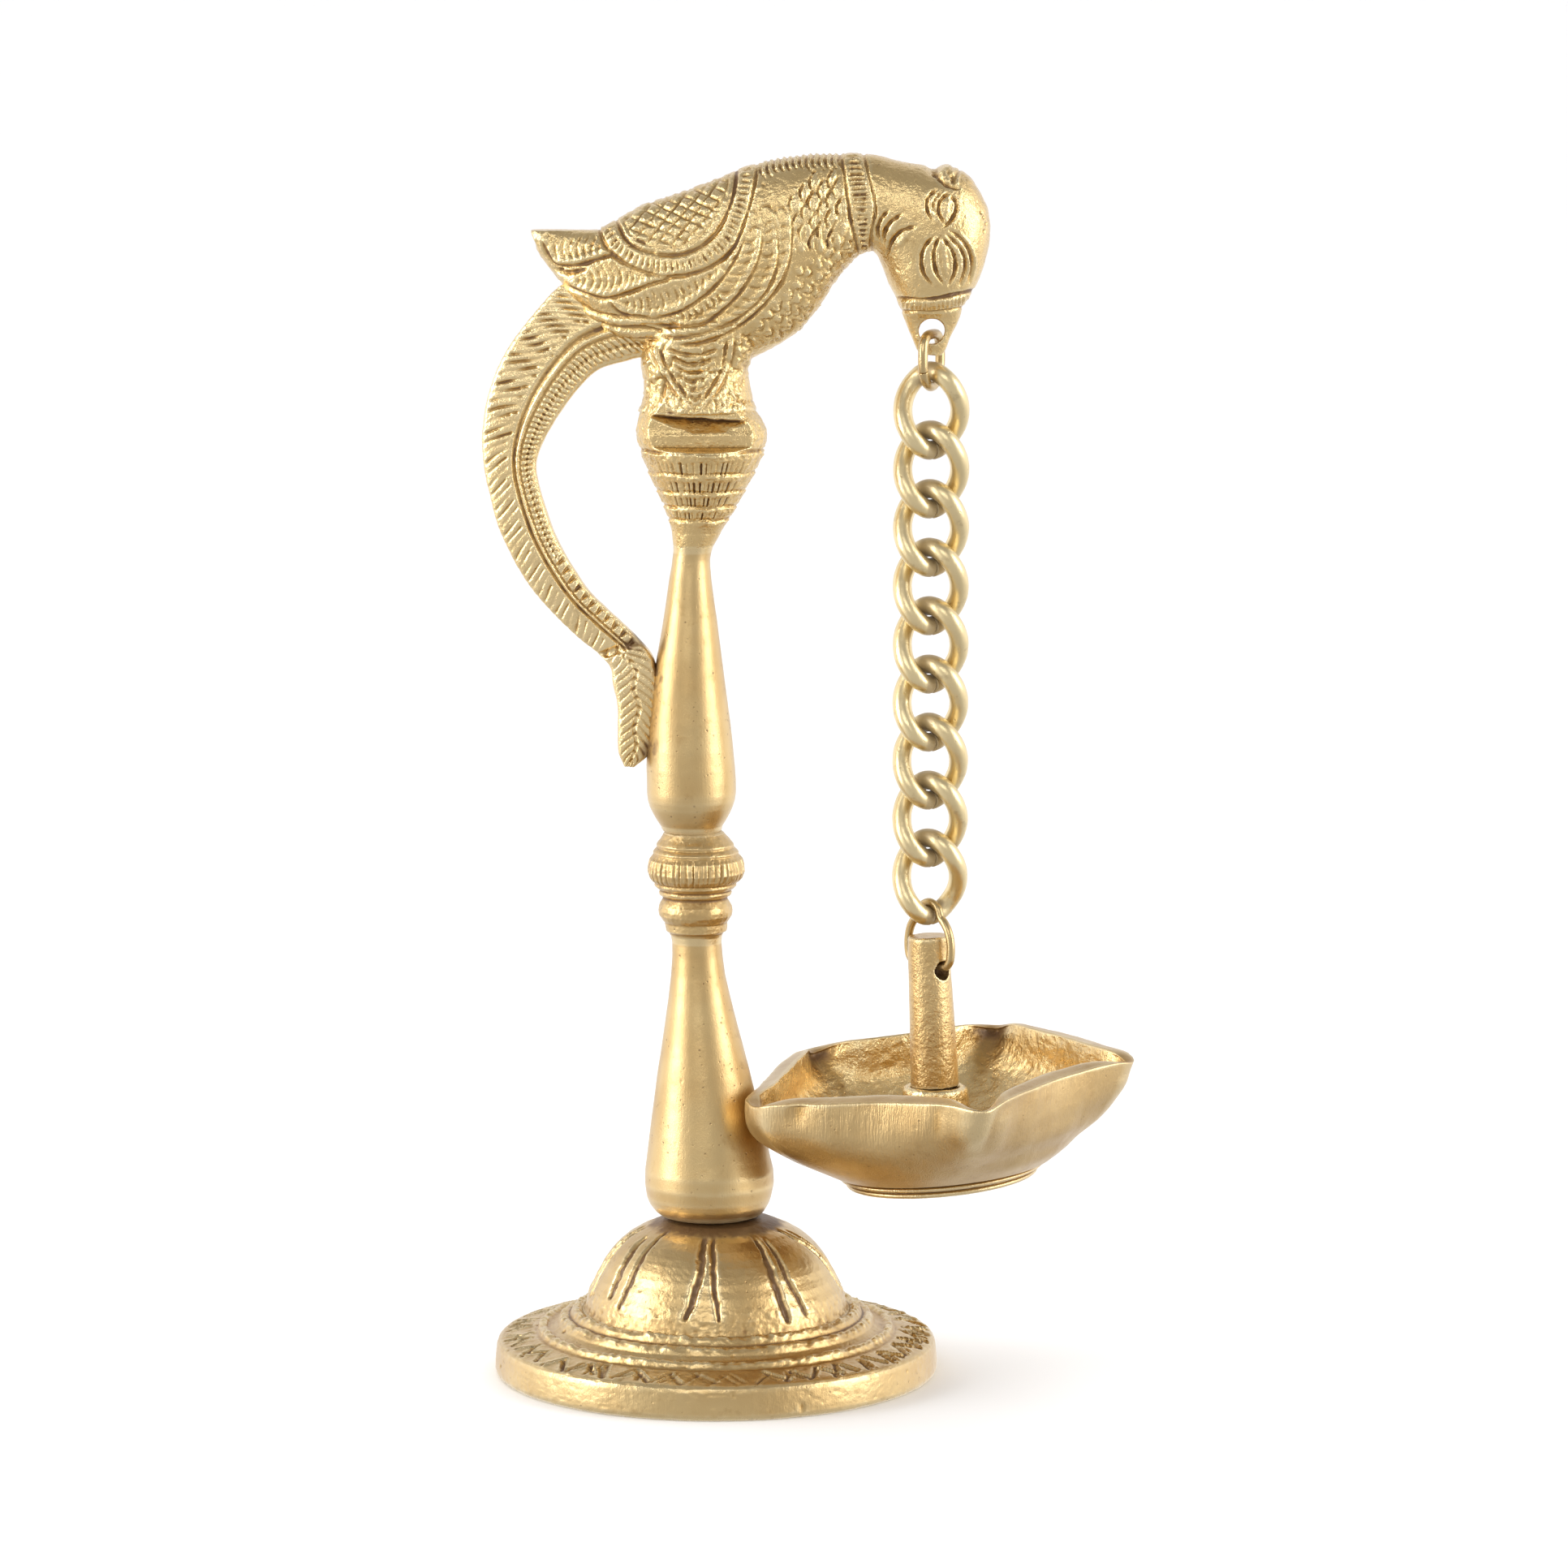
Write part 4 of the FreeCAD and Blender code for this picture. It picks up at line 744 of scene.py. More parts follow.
# ======================================================================= bird
def node_blank(node, voxel, planes):
    """Copy of a CAD node, cut by planes (point, normal: the side the normal
    points to is dropped), closed and given an even mesh.  Returns mm."""
    import bmesh
    bm = bmesh.new()
    bm.from_mesh(NODES[node].data)
    bmesh.ops.remove_doubles(bm, verts=bm.verts, dist=2e-6)
    for co, no in planes:
        geom = bm.verts[:] + bm.edges[:] + bm.faces[:]
        bmesh.ops.bisect_plane(bm, geom=geom, plane_co=Vector(co) * 0.001, plane_no=Vector(no),
                               clear_outer=True, dist=1e-7)
        edges = [e for e in bm.edges if len(e.link_faces) == 1]
        bmesh.ops.holes_fill(bm, edges=edges, sides=0)
    me = bpy.data.meshes.new("blank")
    bm.to_mesh(me)
    bm.free()
    ob = bpy.data.objects.new("blank", me)
    scene.collection.objects.link(ob)
    md = ob.modifiers.new("even", "REMESH")
    md.mode = "VOXEL"
    md.voxel_size = voxel * 0.001
    md.adaptivity = 0.0
    bpy.context.view_layer.update()
    out = bpy.data.meshes.new_from_object(ob.evaluated_get(bpy.context.evaluated_depsgraph_get()))
    bpy.data.objects.remove(ob)
    n = len(out.vertices)
    co = np.zeros(n * 3, np.float32)
    out.vertices.foreach_get("co", co)
    P = co.reshape(-1, 3).astype(float) * 1000
    e = np.zeros(len(out.edges) * 2, np.int64)
    out.edges.foreach_get("vertices", e)
    e = e.reshape(-1, 2)
    faces = [tuple(p.vertices) for p in out.polygons]
    bpy.data.meshes.remove(out)
    return P, e, faces


def relax(P, e, times, keep=0.5):
    n = len(P)
    deg = np.bincount(e.ravel(), minlength=n).astype(float)
    deg[deg == 0] = 1
    for k in range(times):
        # a shrink step and a swell step, so that the volume stays
        for f in (keep, -keep * 1.02):
            m = np.stack([(np.bincount(e[:, 0], P[e[:, 1], j], n) + np.bincount(e[:, 1], P[e[:, 0], j], n)) / deg
                          for j in range(3)], 1)
            P = P + f * (m - P)
    return P


def normals_of(P, faces):
    q = np.array([f if len(f) == 4 else (f[0], f[1], f[2], f[2]) for f in faces])
    nf = np.cross(P[q[:, 2]] - P[q[:, 0]], P[q[:, 3]] - P[q[:, 1]])
    nr = np.stack([sum(np.bincount(q[:, k], nf[:, j], len(P)) for k in range(4)) for j in range(3)], 1)
    return nr / np.maximum(np.linalg.norm(nr, axis=1), 1e-12)[:, None]


RB = Relief(560, 1245, 165, 560, 0.5)


def rungs(A, B, count, w, d, bow=0.0, t0=0.02, t1=0.98, lean=0.0, seed=0, skip=0.0):
    """Short strokes from curve A to curve B."""
    A, B = curve_through(A, 240), curve_through(B, 240)
    rs = np.random.RandomState(seed)
    for k in range(count):
        t = t0 + (t1 - t0) * (k + 0.5) / count + rs.uniform(-0.15, 0.15) / count
        if rs.rand() < skip:
            continue
        p = A[int(np.clip(t, 0, 1) * 239)]
        q = B[int(np.clip(t + lean, 0, 1) * 239)]
        m = (p + q) / 2
        s = q - p
        nrm_ = np.array([-s[1], s[0]])
        m = m + nrm_ * bow
        RB.stroke([p + s * 0.06, m, q - s * 0.06], w * rs.uniform(0.85, 1.2), d * rs.uniform(0.75, 1.15), 0.3, 0.4, seed=k)


def inside(pt, poly):
    x, y = pt
    hit = False
    for (x1, y1), (x2, y2) in zip(poly, poly[1:] + poly[:1]):
        if (y1 > y) != (y2 > y) and x < (x2 - x1) * (y - y1) / (y2 - y1) + x1:
            hit = not hit
    return hit


def hatch(poly, angle, gap, w, d, seed):
    rs = np.random.RandomState(seed)
    c = np.mean(poly, 0)
    dr, nr = np.array([math.cos(angle), math.sin(angle)]), np.array([-math.sin(angle), math.cos(angle)])
    for k in range(-14, 15):
        tilt = rs.uniform(-0.05, 0.05)
        run = []
        for s in np.arange(-130, 131, 3.0):
            p = c + nr * (k * gap + rs.uniform(-0.5, 0.5) + tilt * s) + dr * s
            if inside(p, poly):
                run.append(p)
            else:
                if len(run) > 3:
                    RB.stroke(run, w, d * rs.uniform(0.75, 1.15), 0.1, 0.1, seed=k)
                run = []
        if len(run) > 3:
            RB.stroke(run, w, d, 0.1, 0.1, seed=k)


B0 = [(766, 262), (770, 276), (778, 290), (792, 299), (812, 305), (832, 305), (848, 301), (864, 289), (878, 272), (888, 252), (895, 232), (899, 206)]
B1 = [(756, 262), (763, 280), (774, 298), (789, 307), (812, 313), (831, 314), (850, 310), (871, 298), (887, 280), (898, 256), (905, 232), (908, 204)]
B2 = [(735, 275), (744, 299), (755, 313), (774, 327), (803, 338), (824, 341), (850, 338), (879, 327), (904, 306), (917, 274), (927, 238), (934, 196)]
RB.stroke(B0, 2.0, 0.22, 0, 0)
RB.stroke(B1, 3.2, 0.50, 0, 0)
RB.stroke(B2, 3.4, 0.55, 0, 0)
mid = [((p[0] + q[0]) / 2, (p[1] + q[1]) / 2) for p, q in zip(curve_through(B1, 30), curve_through(B2, 30))]
RB.stroke(mid, 11.0, 0.28, 0, 0, ridge=True)
inner = [((p[0] * 0.72 + q[0] * 0.28), (p[1] * 0.72 + q[1] * 0.28)) for p, q in zip(curve_through(B1, 120), curve_through(B2, 120))]
outer = [((p[0] * 0.18 + q[0] * 0.82), (p[1] * 0.18 + q[1] * 0.82)) for p, q in zip(curve_through(B1, 120), curve_through(B2, 120))]
rungs(inner, outer, 38, 2.1, 0.52, seed=3)
shield = [tuple(p) for p in curve_through(B0, 24)] + [(886, 195), (850, 212), (817, 230), (790, 242), (768, 252)]
hatch(shield, math.atan2(0.45, 1.0), 12.4, 2.3, 0.46, 5)
hatch(shield, math.atan2(1.0, -0.80), 12.6, 2.3, 0.46, 6)

# rear feathers
F1 = [(668, 298), (676, 315), (685, 326), (700, 328), (715, 326), (739, 318), (757, 313)]
F2 = [(688, 341), (701, 353), (722, 362), (747, 368), (774, 361), (803, 350), (828, 343)]
F3 = [(750, 371), (762, 384), (782, 391), (803, 393), (824, 389), (845, 381), (870, 363), (893, 339), (908, 314), (918, 290)]
F4 = [(790, 398), (812, 401), (836, 402), (860, 401), (880, 391), (902, 372), (918, 352), (930, 330), (938, 302), (938, 275)]
F5 = [(815, 414), (835, 416), (860, 413), (886, 405), (910, 393), (935, 372), (950, 350), (958, 322), (958, 290), (953, 266)]
F6 = [(838, 425), (862, 423), (890, 414), (915, 400), (941, 377), (962, 350), (972, 325), (976, 295), (974, 262)]
for f, w, d in ((F1, 3.4, 0.60), (F2, 3.4, 0.55), (F3, 3.2, 0.50), (F4, 3.0, 0.45), (F5, 3.0, 0.45), (F6, 3.2, 0.50)):
    RB.stroke(f, w, d, 0.05, 0.05)
    RB.stroke([(u - 1.5, v - 6.5) for u, v in f], 6.0, 0.28, 0.1, 0.1, ridge=True)
RB.stroke([(686, 331), (700, 336), (722, 331)], 4.0, 0.8)
RB.stroke([(690, 345), (700, 352)], 4.0, 0.6)
for k, u in enumerate((674, 683, 692, 701, 710, 719, 728, 737)):
    RB.stroke([(u + 7, 291 + k * 0.2), (u + 1, 301), (u + 1, 311), (u + 6, 321 - k * 0.4)], 2.1, 0.30, seed=k)
rungs([(702, 338), (722, 331), (745, 323), (765, 322), (790, 333), (812, 340)], [(704, 352), (726, 361), (748, 366), (772, 360), (798, 350), (815, 345)],
      13, 2.1, 0.30, bow=-0.18, seed=8)
rungs([(760, 372), (780, 366), (803, 357), (830, 349), (860, 345), (885, 334), (905, 313)], [(768, 384), (785, 390), (803, 391), (826, 387), (848, 377), (872, 359), (893, 336)],
      17, 2.0, 0.30, bow=-0.20, seed=9)
rungs(F3[2:], F4[1:], 13, 2.0, 0.28, bow=0.1, seed=10)
rungs(F4[1:], F5[1:], 14, 2.0, 0.28, bow=0.1, seed=11)
rungs(F5[1:], F6[1:], 13, 2.0, 0.26, bow=0.1, seed=12)
for u, v, s in ((926, 262, 9), (944, 256, 10), (962, 258, 9), (932, 282, 9), (950, 276, 9), (966, 281, 8), (921, 300, 8)):
    RB.stroke([(u - s, v + 5), (u - s * 0.4, v - 2), (u + s * 0.4, v - 2), (u + s, v + 5)], 2.0, 0.26)

# neck feathers: drops in staggered columns, then scales on the breast
for i, u0 in enumerate((980, 991, 1002, 1013, 1024, 1034)):
    for j in range(4):
        v0 = 226 - 1.2 * i + 25 * j + (12 if i % 2 else 0)
        if v0 > 306 or (i == 0 and j == 0):
            continue
        du, dv = rng.uniform(-2.6, 2.6, 2)
        RB.pad(u0 + du + 0.10 * (v0 - 226), v0 + dv, rng.uniform(20, 29), rng.uniform(8.5, 12), math.radians(84 + rng.uniform(-14, 14)), rng.uniform(0.20, 0.34), 0.0)
        RB.stroke([(u0 + du - 3.4, v0 + 10), (u0 + du - 5.6, v0 - 1), (u0 + du + 0.8, v0 - 14)], 2.5, rng.uniform(0.34, 0.62), seed=i)
        RB.stroke([(u0 + du - 0.6, v0 + 9), (u0 + du - 2.4, v0 - 1), (u0 + du + 2.6, v0 - 12)], 2.4, rng.uniform(0.22, 0.36), seed=i, ridge=True)
        if rng.rand() < 0.6:
            RB.stroke([(u0 + du + 1, v0 + 8), (u0 + du + 1.5, v0), (u0 + du + 2.5, v0 - 7)], 1.1, 0.18, seed=i)
for i in range(8):
    for j in range(9):
        u = 1026 - 12.5 * j + 6.0 * i - 4
        v = 306 + 13.0 * j + 8.0 * i * 0.35 - 12
        u += 5.5 * (i % 2)
        right = np.interp(v, [300, 320, 345, 370, 400, 430, 465], [1066, 1046, 1030, 1016, 984, 948, 918])
        left = np.interp(v, [300, 330, 350, 377, 400, 415, 465], [980, 976, 966, 944, 918, 900, 860])
        if left + 6 < u < right + 4 and v < 445:
            u, v = u + rng.uniform(-2.6, 2.6), v + rng.uniform(-2.6, 2.6)
            t = math.radians(40 + rng.uniform(-34, 34))
            c_, s_ = math.cos(t), math.sin(t)
            pts = [(x * c_ - y * s_, x * s_ + y * c_) for x, y in ((-2, -6), (4, -4), (6, 0), (4, 4), (-2, 6))]
            RB.stroke([(u + x, v + y) for x, y in pts], 1.9, rng.uniform(0.16, 0.38), seed=i + j)
            RB._stamp(RB.raised, u - 1, v - 1, rng.uniform(4.5, 7.5), rng.uniform(0.06, 0.20))
            RB.stroke([(u + x * 0.75 - 1, v + y * 0.75) for x, y in pts], 1.6, rng.uniform(0.15, 0.35), seed=i, ridge=True)
for k in range(13):
    u = 938 + 8.0 * k
    tv = np.interp(u, [933, 970, 1084], [204, 193, 190])
    RB.stroke([(u + 5, tv - 10), (u - 1, tv + 2), (u - 1, tv + 9), (u + 4, tv + 16 + 2 * math.sin(k * 2.0))], 2.4, 0.52, 0.0, 0.5, seed=k)
    RB.stroke([(u + 8, tv - 10), (u + 3, tv + 2), (u + 3, tv + 9), (u + 8, tv + 16)], 2.0, 0.28, 0.0, 0.5, seed=k, ridge=True)

# legs and belly: loose small cuts
for k in range(190):
    u, v = rng.uniform(790, 930), rng.uniform(412, 512)
    if v < np.interp(u, [790, 838, 890, 930], [418, 432, 424, 405]):
        continue
    t, s = rng.uniform(0, 6.28), rng.uniform(4, 8)
    c_, s_ = math.cos(t), math.sin(t)
    pts = [(x * c_ - y * s_, x * s_ + y * c_) for x, y in ((-s, -s * 0.4), (0, s * 0.3), (s, -s * 0.4))]
    RB.stroke([(u + x, v + y) for x, y in pts], rng.uniform(1.3, 2.3), rng.uniform(0.15, 0.38), seed=k, ridge=bool(k % 2))
for pts in ([(868, 428), (862, 455), (856, 480), (862, 500)], [(838, 430), (826, 452), (818, 478), (812, 500)], [(900, 425), (896, 450), (892, 478)]):
    RB.stroke(pts, 2.6, 0.38)
RB.stroke([(812, 508), (850, 513), (895, 514), (925, 508)], 4.5, 0.5, 0.1, 0.1)

# ragged casting marks among the feathers
for k in range(420):
    u, v = rng.uniform(668, 1060), rng.uniform(205, 440)
    if inside((u, v), shield) or v > np.interp(u, [668, 750, 850, 930, 1060], [330, 395, 430, 440, 330]):
        continue
    t, s_ = rng.uniform(-0.4, 0.9), rng.uniform(1.5, 4.5)
    RB.stroke([(u - s_ * math.cos(t), v - s_ * math.sin(t)), (u + rng.uniform(-1, 1), v + rng.uniform(-1, 1)), (u + s_ * math.cos(t), v + s_ * math.sin(t))],
              rng.uniform(0.9, 1.7), rng.uniform(0.10, 0.24), seed=k)
    RB._stamp(RB.raised, u + rng.uniform(-4, 4), v + rng.uniform(-4, 4), rng.uniform(1.4, 3.0), rng.uniform(0.10, 0.22))

# collar
C1 = [(1034, 182), (1040, 210), (1044, 240), (1048, 268), (1055, 298), (1060, 316)]
C2 = [(1062, 182), (1070, 215), (1076, 240), (1078, 260), (1075, 280), (1073, 298), (1076, 316)]
C1b, C2b = [(u + 5, v) for u, v in C1], [(u - 5, v) for u, v in C2]
RB.stroke([((p[0] + q[0]) / 2, (p[1] + q[1]) / 2) for p, q in zip(curve_through(C1, 20), curve_through(C2, 20))], 13, 0.42, 0, 0, ridge=True)
for cc in (C1, C2):
    RB.stroke(cc, 3.0, 0.50, 0, 0)
for cc in (C1b, C2b):
    RB.stroke(cc, 1.6, 0.20, 0, 0)
rungs(C1b, C2b, 20, 2.3, 0.62, seed=14, t0=0.03, t1=0.97)
for cc in (C1, C2):
    RB.stroke([(u + (4 if cc is C1 else -4), v) for u, v in cc], 2.6, 0.30, 0, 0, ridge=True)
for u, v in ((1063, 259), (1055, 202)):
    RB._stamp(RB.cut, u, v, 3.2, 0.7)

# head: brow, eye and cheek leaves cut with curved strokes
for pts, w, d in (
        ([(1153, 205), (1160, 219), (1172, 227)], 2.6, 0.40), ([(1167, 216), (1172, 210), (1178, 206)], 2.0, 0.30),
        ([(1186, 208), (1178, 216), (1176, 226), (1182, 232)], 2.0, 0.26),
        ([(1154, 234), (1146, 240), (1142, 250), (1144, 262), (1150, 272)], 2.5, 0.42),
        ([(1160, 236), (1153, 244), (1150, 254), (1153, 264)], 1.8, 0.25),
        ([(1170, 238), (1160, 245), (1156, 256), (1159, 267), (1165, 275)], 2.5, 0.42),
        ([(1172, 240), (1178, 248), (1178, 260), (1172, 272), (1163, 280)], 2.5, 0.45),
        ([(1150, 292), (1139, 305), (1135, 322), (1139, 339), (1149, 351)], 2.5, 0.45),
        ([(1158, 292), (1152, 306), (1151, 322), (1155, 338), (1163, 350)], 2.4, 0.42),
        ([(1160, 292), (1170, 303), (1177, 318), (1177, 334), (1170, 351)], 2.5, 0.45),
        ([(1166, 289), (1179, 300), (1188, 315), (1189, 333), (1183, 351)], 2.4, 0.42),
        ([(1170, 284), (1184, 293), (1195, 309), (1198, 328), (1194, 347)], 2.4, 0.42),
        ([(1094, 260), (1085, 271), (1081, 284), (1083, 296)], 2.5, 0.42),
        ([(1111, 264), (1097, 274), (1090, 286), (1088, 298)], 2.5, 0.42),
        ([(1130, 279), (1112, 284), (1099, 297), (1092, 315)], 2.5, 0.45)):
    RB.stroke(pts, w * 1.2, d * 1.45, 0.25, 0.3)
    RB.stroke([(u + 3.4, v + 0.6) for u, v in pts], 2.4, 0.20, 0.3, 0.4, ridge=True)
for pts in ([(1168, 246), (1166, 257), (1165, 268)], [(1161, 302), (1164, 320), (1166, 340)], [(1145, 302), (1144, 322), (1150, 342)],
            [(1180, 304), (1184, 322), (1180, 342)], [(1104, 272), (1095, 290)], [(1118, 288), (1104, 304)]):
    RB.stroke(pts, 4.5, 0.22, 0.4, 0.4, ridge=True)
for k in range(70):
    u, v = rng.uniform(1090, 1215), rng.uniform(205, 400)
    RB._stamp(RB.cut, u, v, rng.uniform(0.9, 1.7), rng.uniform(0.10, 0.22))

RB.stroke([(1163, 212), (1172, 205), (1183, 203), (1194, 209), (1199, 222)], 10.0, 0.75, 0.3, 0.3, ridge=True)
RB.stroke([(1150, 208), (1158, 219), (1168, 227), (1180, 232)], 4.0, 0.85, 0.2, 0.3)
RB.stroke([(1166, 212), (1174, 219), (1172, 228)], 2.6, 0.55, 0.2, 0.3)
for u, v in ((1212, 268), (1215, 276), (1213, 285), (1209, 262)):
    RB._stamp(RB.cut, u, v, 2.2, 0.45)
# beak: dark slit, fluted band and a second line
G1 = [(1106, 367), (1125, 369), (1145, 369), (1172, 364), (1206, 356)]
G2 = [(1106, 382), (1130, 384), (1155, 384), (1180, 380), (1204, 375)]
RB.stroke([((p[0] + q[0]) / 2, (p[1] + q[1]) / 2) for p, q in zip(curve_through(G1, 20), curve_through(G2, 20))], 8.0, 0.28, 0, 0, ridge=True)
RB.stroke(G1, 2.6, 0.55, 0, 0)
RB.stroke([(1142, 370), (1172, 365), (1200, 358)], 3.0, 0.75, 0.3, 0.1)
RB.stroke(G2, 2.4, 0.45, 0, 0)
rungs([(u, v + 2) for u, v in G1], [(u, v - 2) for u, v in G2], 19, 1.5, 0.28, seed=16)

for pts in ([(712, 379), (735, 391), (762, 396), (790, 396), (822, 404)], [(735, 401), (760, 409), (790, 411), (815, 412)]):
    RB.stroke(pts, 6.5, 0.42, 0.15, 0.25, ridge=True)
    RB.stroke([(u, v - 6) for u, v in pts], 2.6, 0.42, 0.1, 0.3)
    RB.stroke([(u + 2, v + 6) for u, v in pts], 2.6, 0.42, 0.1, 0.3)
for k in range(15):
    u = 770 + k * 8.6
    v = float(np.interp(u, [770, 800, 840, 880, 900], [372, 374, 362, 341, 330]))
    RB.stroke([(u, v - 7), (u + 3, v), (u + 2, v + 8)], 2.4, 0.34, 0.1, 0.4, seed=k)
for k in range(9):
    u = 826 + k * 7.4
    v = float(np.interp(u, [826, 860, 885], [398, 384, 370]))
    RB.stroke([(u - 2, v - 6), (u + 2, v), (u + 1, v + 7)], 2.6, 0.30, 0.1, 0.4, seed=k + 40)
    RB.stroke([(u + 3, v - 6), (u + 6, v)], 2.2, 0.30, 0.2, 0.4, seed=k + 60, ridge=True)

apron_l = [(806, 428), (814, 448), (827, 470), (840, 488), (851, 503)]
apron_r = [(901, 420), (897, 445), (888, 468), (876, 487), (861, 504)]
for pts in (apron_l, apron_r):
    RB.stroke(pts, 5.0, 0.45, 0.1, 0.3, ridge=True)
    RB.stroke([(u + (5 if pts is apron_l else -5), v) for u, v in pts], 2.8, 0.50, 0.1, 0.3)
    RB.stroke([(u - (5 if pts is apron_l else -5), v) for u, v in pts], 2.6, 0.40, 0.1, 0.3)
for k in range(6):
    v = 433 + k * 11
    ul, ur = np.interp(v, [428, 503], [816, 852]) + 4, np.interp(v, [420, 504], [893, 864]) - 4
    um = (ul + ur) / 2
    RB.stroke([(ul, v - 3), ((ul + um) / 2, v + 3), (um, v + 5), ((ur + um) / 2, v + 3), (ur, v - 3)], 3.0, 0.42, 0.1, 0.3, seed=k + 80)
    RB.stroke([(ul, v + 2), (um, v + 9), (ur, v + 2)], 2.6, 0.30, 0.1, 0.3, seed=k + 90, ridge=True)

# the bird is cut in two at the collar's edge and stands on the capital
pc = draw_to_mm(1069, 200)
pd = draw_to_mm(1077, 312)
ax = np.array([pd[0] - pc[0], pd[1] - pc[1]])
ax /= np.linalg.norm(ax)
nx, nz = -ax[1], ax[0]           # points to the head
if nx < 0:
    nx, nz = -nx, -nz
seam, seat = (pc[0], 0.0, pc[1]), level(508)


def bird_piece(name, voxel, planes, nodes, patina_fn):
    P, e, faces = node_blank("bird_column", voxel, planes)
    P = relax(P, e, 5)
    if name == "bird_body":
        # the legs run into the breast and flare out on to the seat
        low_ = smooth(149.0, 152.5, P[:, 2]) * (1 - smooth(161.5, 165.0, P[:, 2])) * (np.abs(P[:, 0] + 2) < 13.5)
        P = P + low_[:, None] * (relax(P, e, 60, 0.6) - P)
        fl_ = smooth(seat + 5.2, seat, P[:, 2])
        P[:, 0] = -2.2 + (P[:, 0] + 2.2) * (1 + 0.06 * fl_)
    nr = normals_of(P, faces)
    u, v = mm_to_draw(P)
    up, down = RB.at(u, v)
    face = np.clip(0.42 + 1.1 * np.abs(nr[:, 1]), 0, 1)
    plain_head = smooth(1072, 1090, u)
    rough = fbm(P, 1.3, 3, 71) * (1 - 0.45 * plain_head) + 0.55 * noise(P, 0.62, 76) * (1 - 0.7 * plain_head)
    off = face * (up - 0.85 * down) + 0.085 * rough + 0.09 * fbm(P, 5.0, 2, 72)
    off -= 0.12 * pits(P, 1.1, 73, 0.16, 0.1, 0.22)
    # dents and swells of the outline
    for u0, v0, ru, rv, d_ in ((1149, 206, 8, 14, -0.62), (1176, 203, 20, 12, 0.30), (1150, 232, 10, 8, 0.0), (714, 289, 18, 12, 0.32),
                               (1207, 235, 12, 22, -0.10), (1217, 255, 6, 8, 0.12)):
        off += d_ * np.exp(-((u - u0) / ru) ** 2 - ((v - v0) / rv) ** 2)
    if name == "bird_body":      # the belly runs on into the legs without a crease
        off += 0.50 * np.exp(-((v - 457) / 6.0) ** 2) * face * smooth(800, 815, u) * (1 - smooth(892, 908, u))
    Q = P + nr * off[:, None]
    # straight top of the rear stub
    flat_z = draw_to_mm(700.0, 283.2)[1] + 0.03 * fbm(P, 1.5, 2, 77)
    Q[:, 2] = np.where((u < 741) & (Q[:, 0] < -16), np.minimum(Q[:, 2], flat_z), Q[:, 2])
    patina_shade_fac = patina_fn(P, u, v, down * face)
    return make_piece(name, Q, faces, "stand", nodes, M_BIRD, 0.17, patina_shade_fac)


def bird_patina(P, u, v, down):
    base = 0.80 * smooth(0.28, 0.62, down) * np.clip(0.38 + 0.8 * noise(P, 3.0, 75), 0, 1)
    base = np.maximum(base, 0.8 * np.exp(-(((u - 905) / 10) ** 2 + ((v - 225) / 26) ** 2)) * (down > 0.08))
    return np.clip(base + 0.45 * smooth(seat + 1.6, seat, P[:, 2]), 0, 1)


def head_patina(P, u, v, down):
    slit = np.exp(-((v - np.interp(u, [1142, 1172, 1200], [370, 365, 358])) / 2.6) ** 2) * smooth(1138, 1150, u)
    return np.clip(0.30 * smooth(0.35, 0.7, down) + 0.95 * slit, 0, 1)


lap = 0.8                        # the two castings run into each other
seam_b = (seam[0] + lap * nx, 0.0, seam[2] + lap * nz)
seam_h = (seam[0] - lap * nx, 0.0, seam[2] - lap * nz)
bird_piece("bird_body", 0.255, [((0, 0, seat), (0, 0, -1)), (seam_b, (nx, 0, nz))], [], bird_patina)
bird_piece("bird_head", 0.225, [((0, 0, seat), (0, 0, -1)), (seam_h, (-nx, 0, -nz))], ["bird_column"], head_patina)


# ======================================================================= tail
TAIL = np.array([
    (-14.00, 182.00, -3.80, 165.60, 2.40), (-22.02, 179.60, -10.55, 167.30, 2.60), (-24.91, 178.82, -14.75, 166.51, 2.60),
    (-27.80, 175.94, -18.68, 165.33, 2.60), (-31.49, 171.49, -21.71, 162.57, 2.60),
    (-34.67, 166.38, -24.22, 159.29, 2.60), (-36.80, 160.47, -26.47, 155.87, 2.60),
    (-37.63, 154.16, -28.19, 152.45, 2.50), (-37.27, 148.89, -28.86, 149.81, 2.50),
    (-36.38, 144.67, -28.48, 146.91, 2.50), (-35.23, 140.31, -27.32, 142.82, 2.40),
    (-33.15, 135.42, -25.77, 138.46, 2.40), (-30.29, 130.52, -23.42, 133.96, 2.30),
    (-26.75, 126.14, -20.41, 129.33, 2.20), (-22.29, 121.76, -16.61, 125.61, 2.10),
    (-18.88, 118.97, -12.60, 121.76, 2.10), (-17.04, 116.84, -10.00, 118.44, 2.20),
    (-16.65, 114.18, -9.20, 114.18, 2.30), (-15.87, 110.45, -9.40, 110.45, 2.30),
    (-15.89, 106.46, -9.90, 106.05, 2.20), (-15.77, 103.12, -10.80, 102.72, 1.90),
    (-14.85, 100.71, -13.13, 100.58, 1.40)])
ROWS, COLS = 560, 150
st = curve_through(TAIL, ROWS)
dense = np.linspace(0, 2 * math.pi, 720)
cd, sd = np.cos(dense), np.sin(dense)
cc, ss = np.sign(cd) * np.abs(cd) ** (2 / 4.2), np.sign(sd) * np.abs(sd) ** (2 / 4.2)
g = np.zeros((ROWS, COLS, 3))
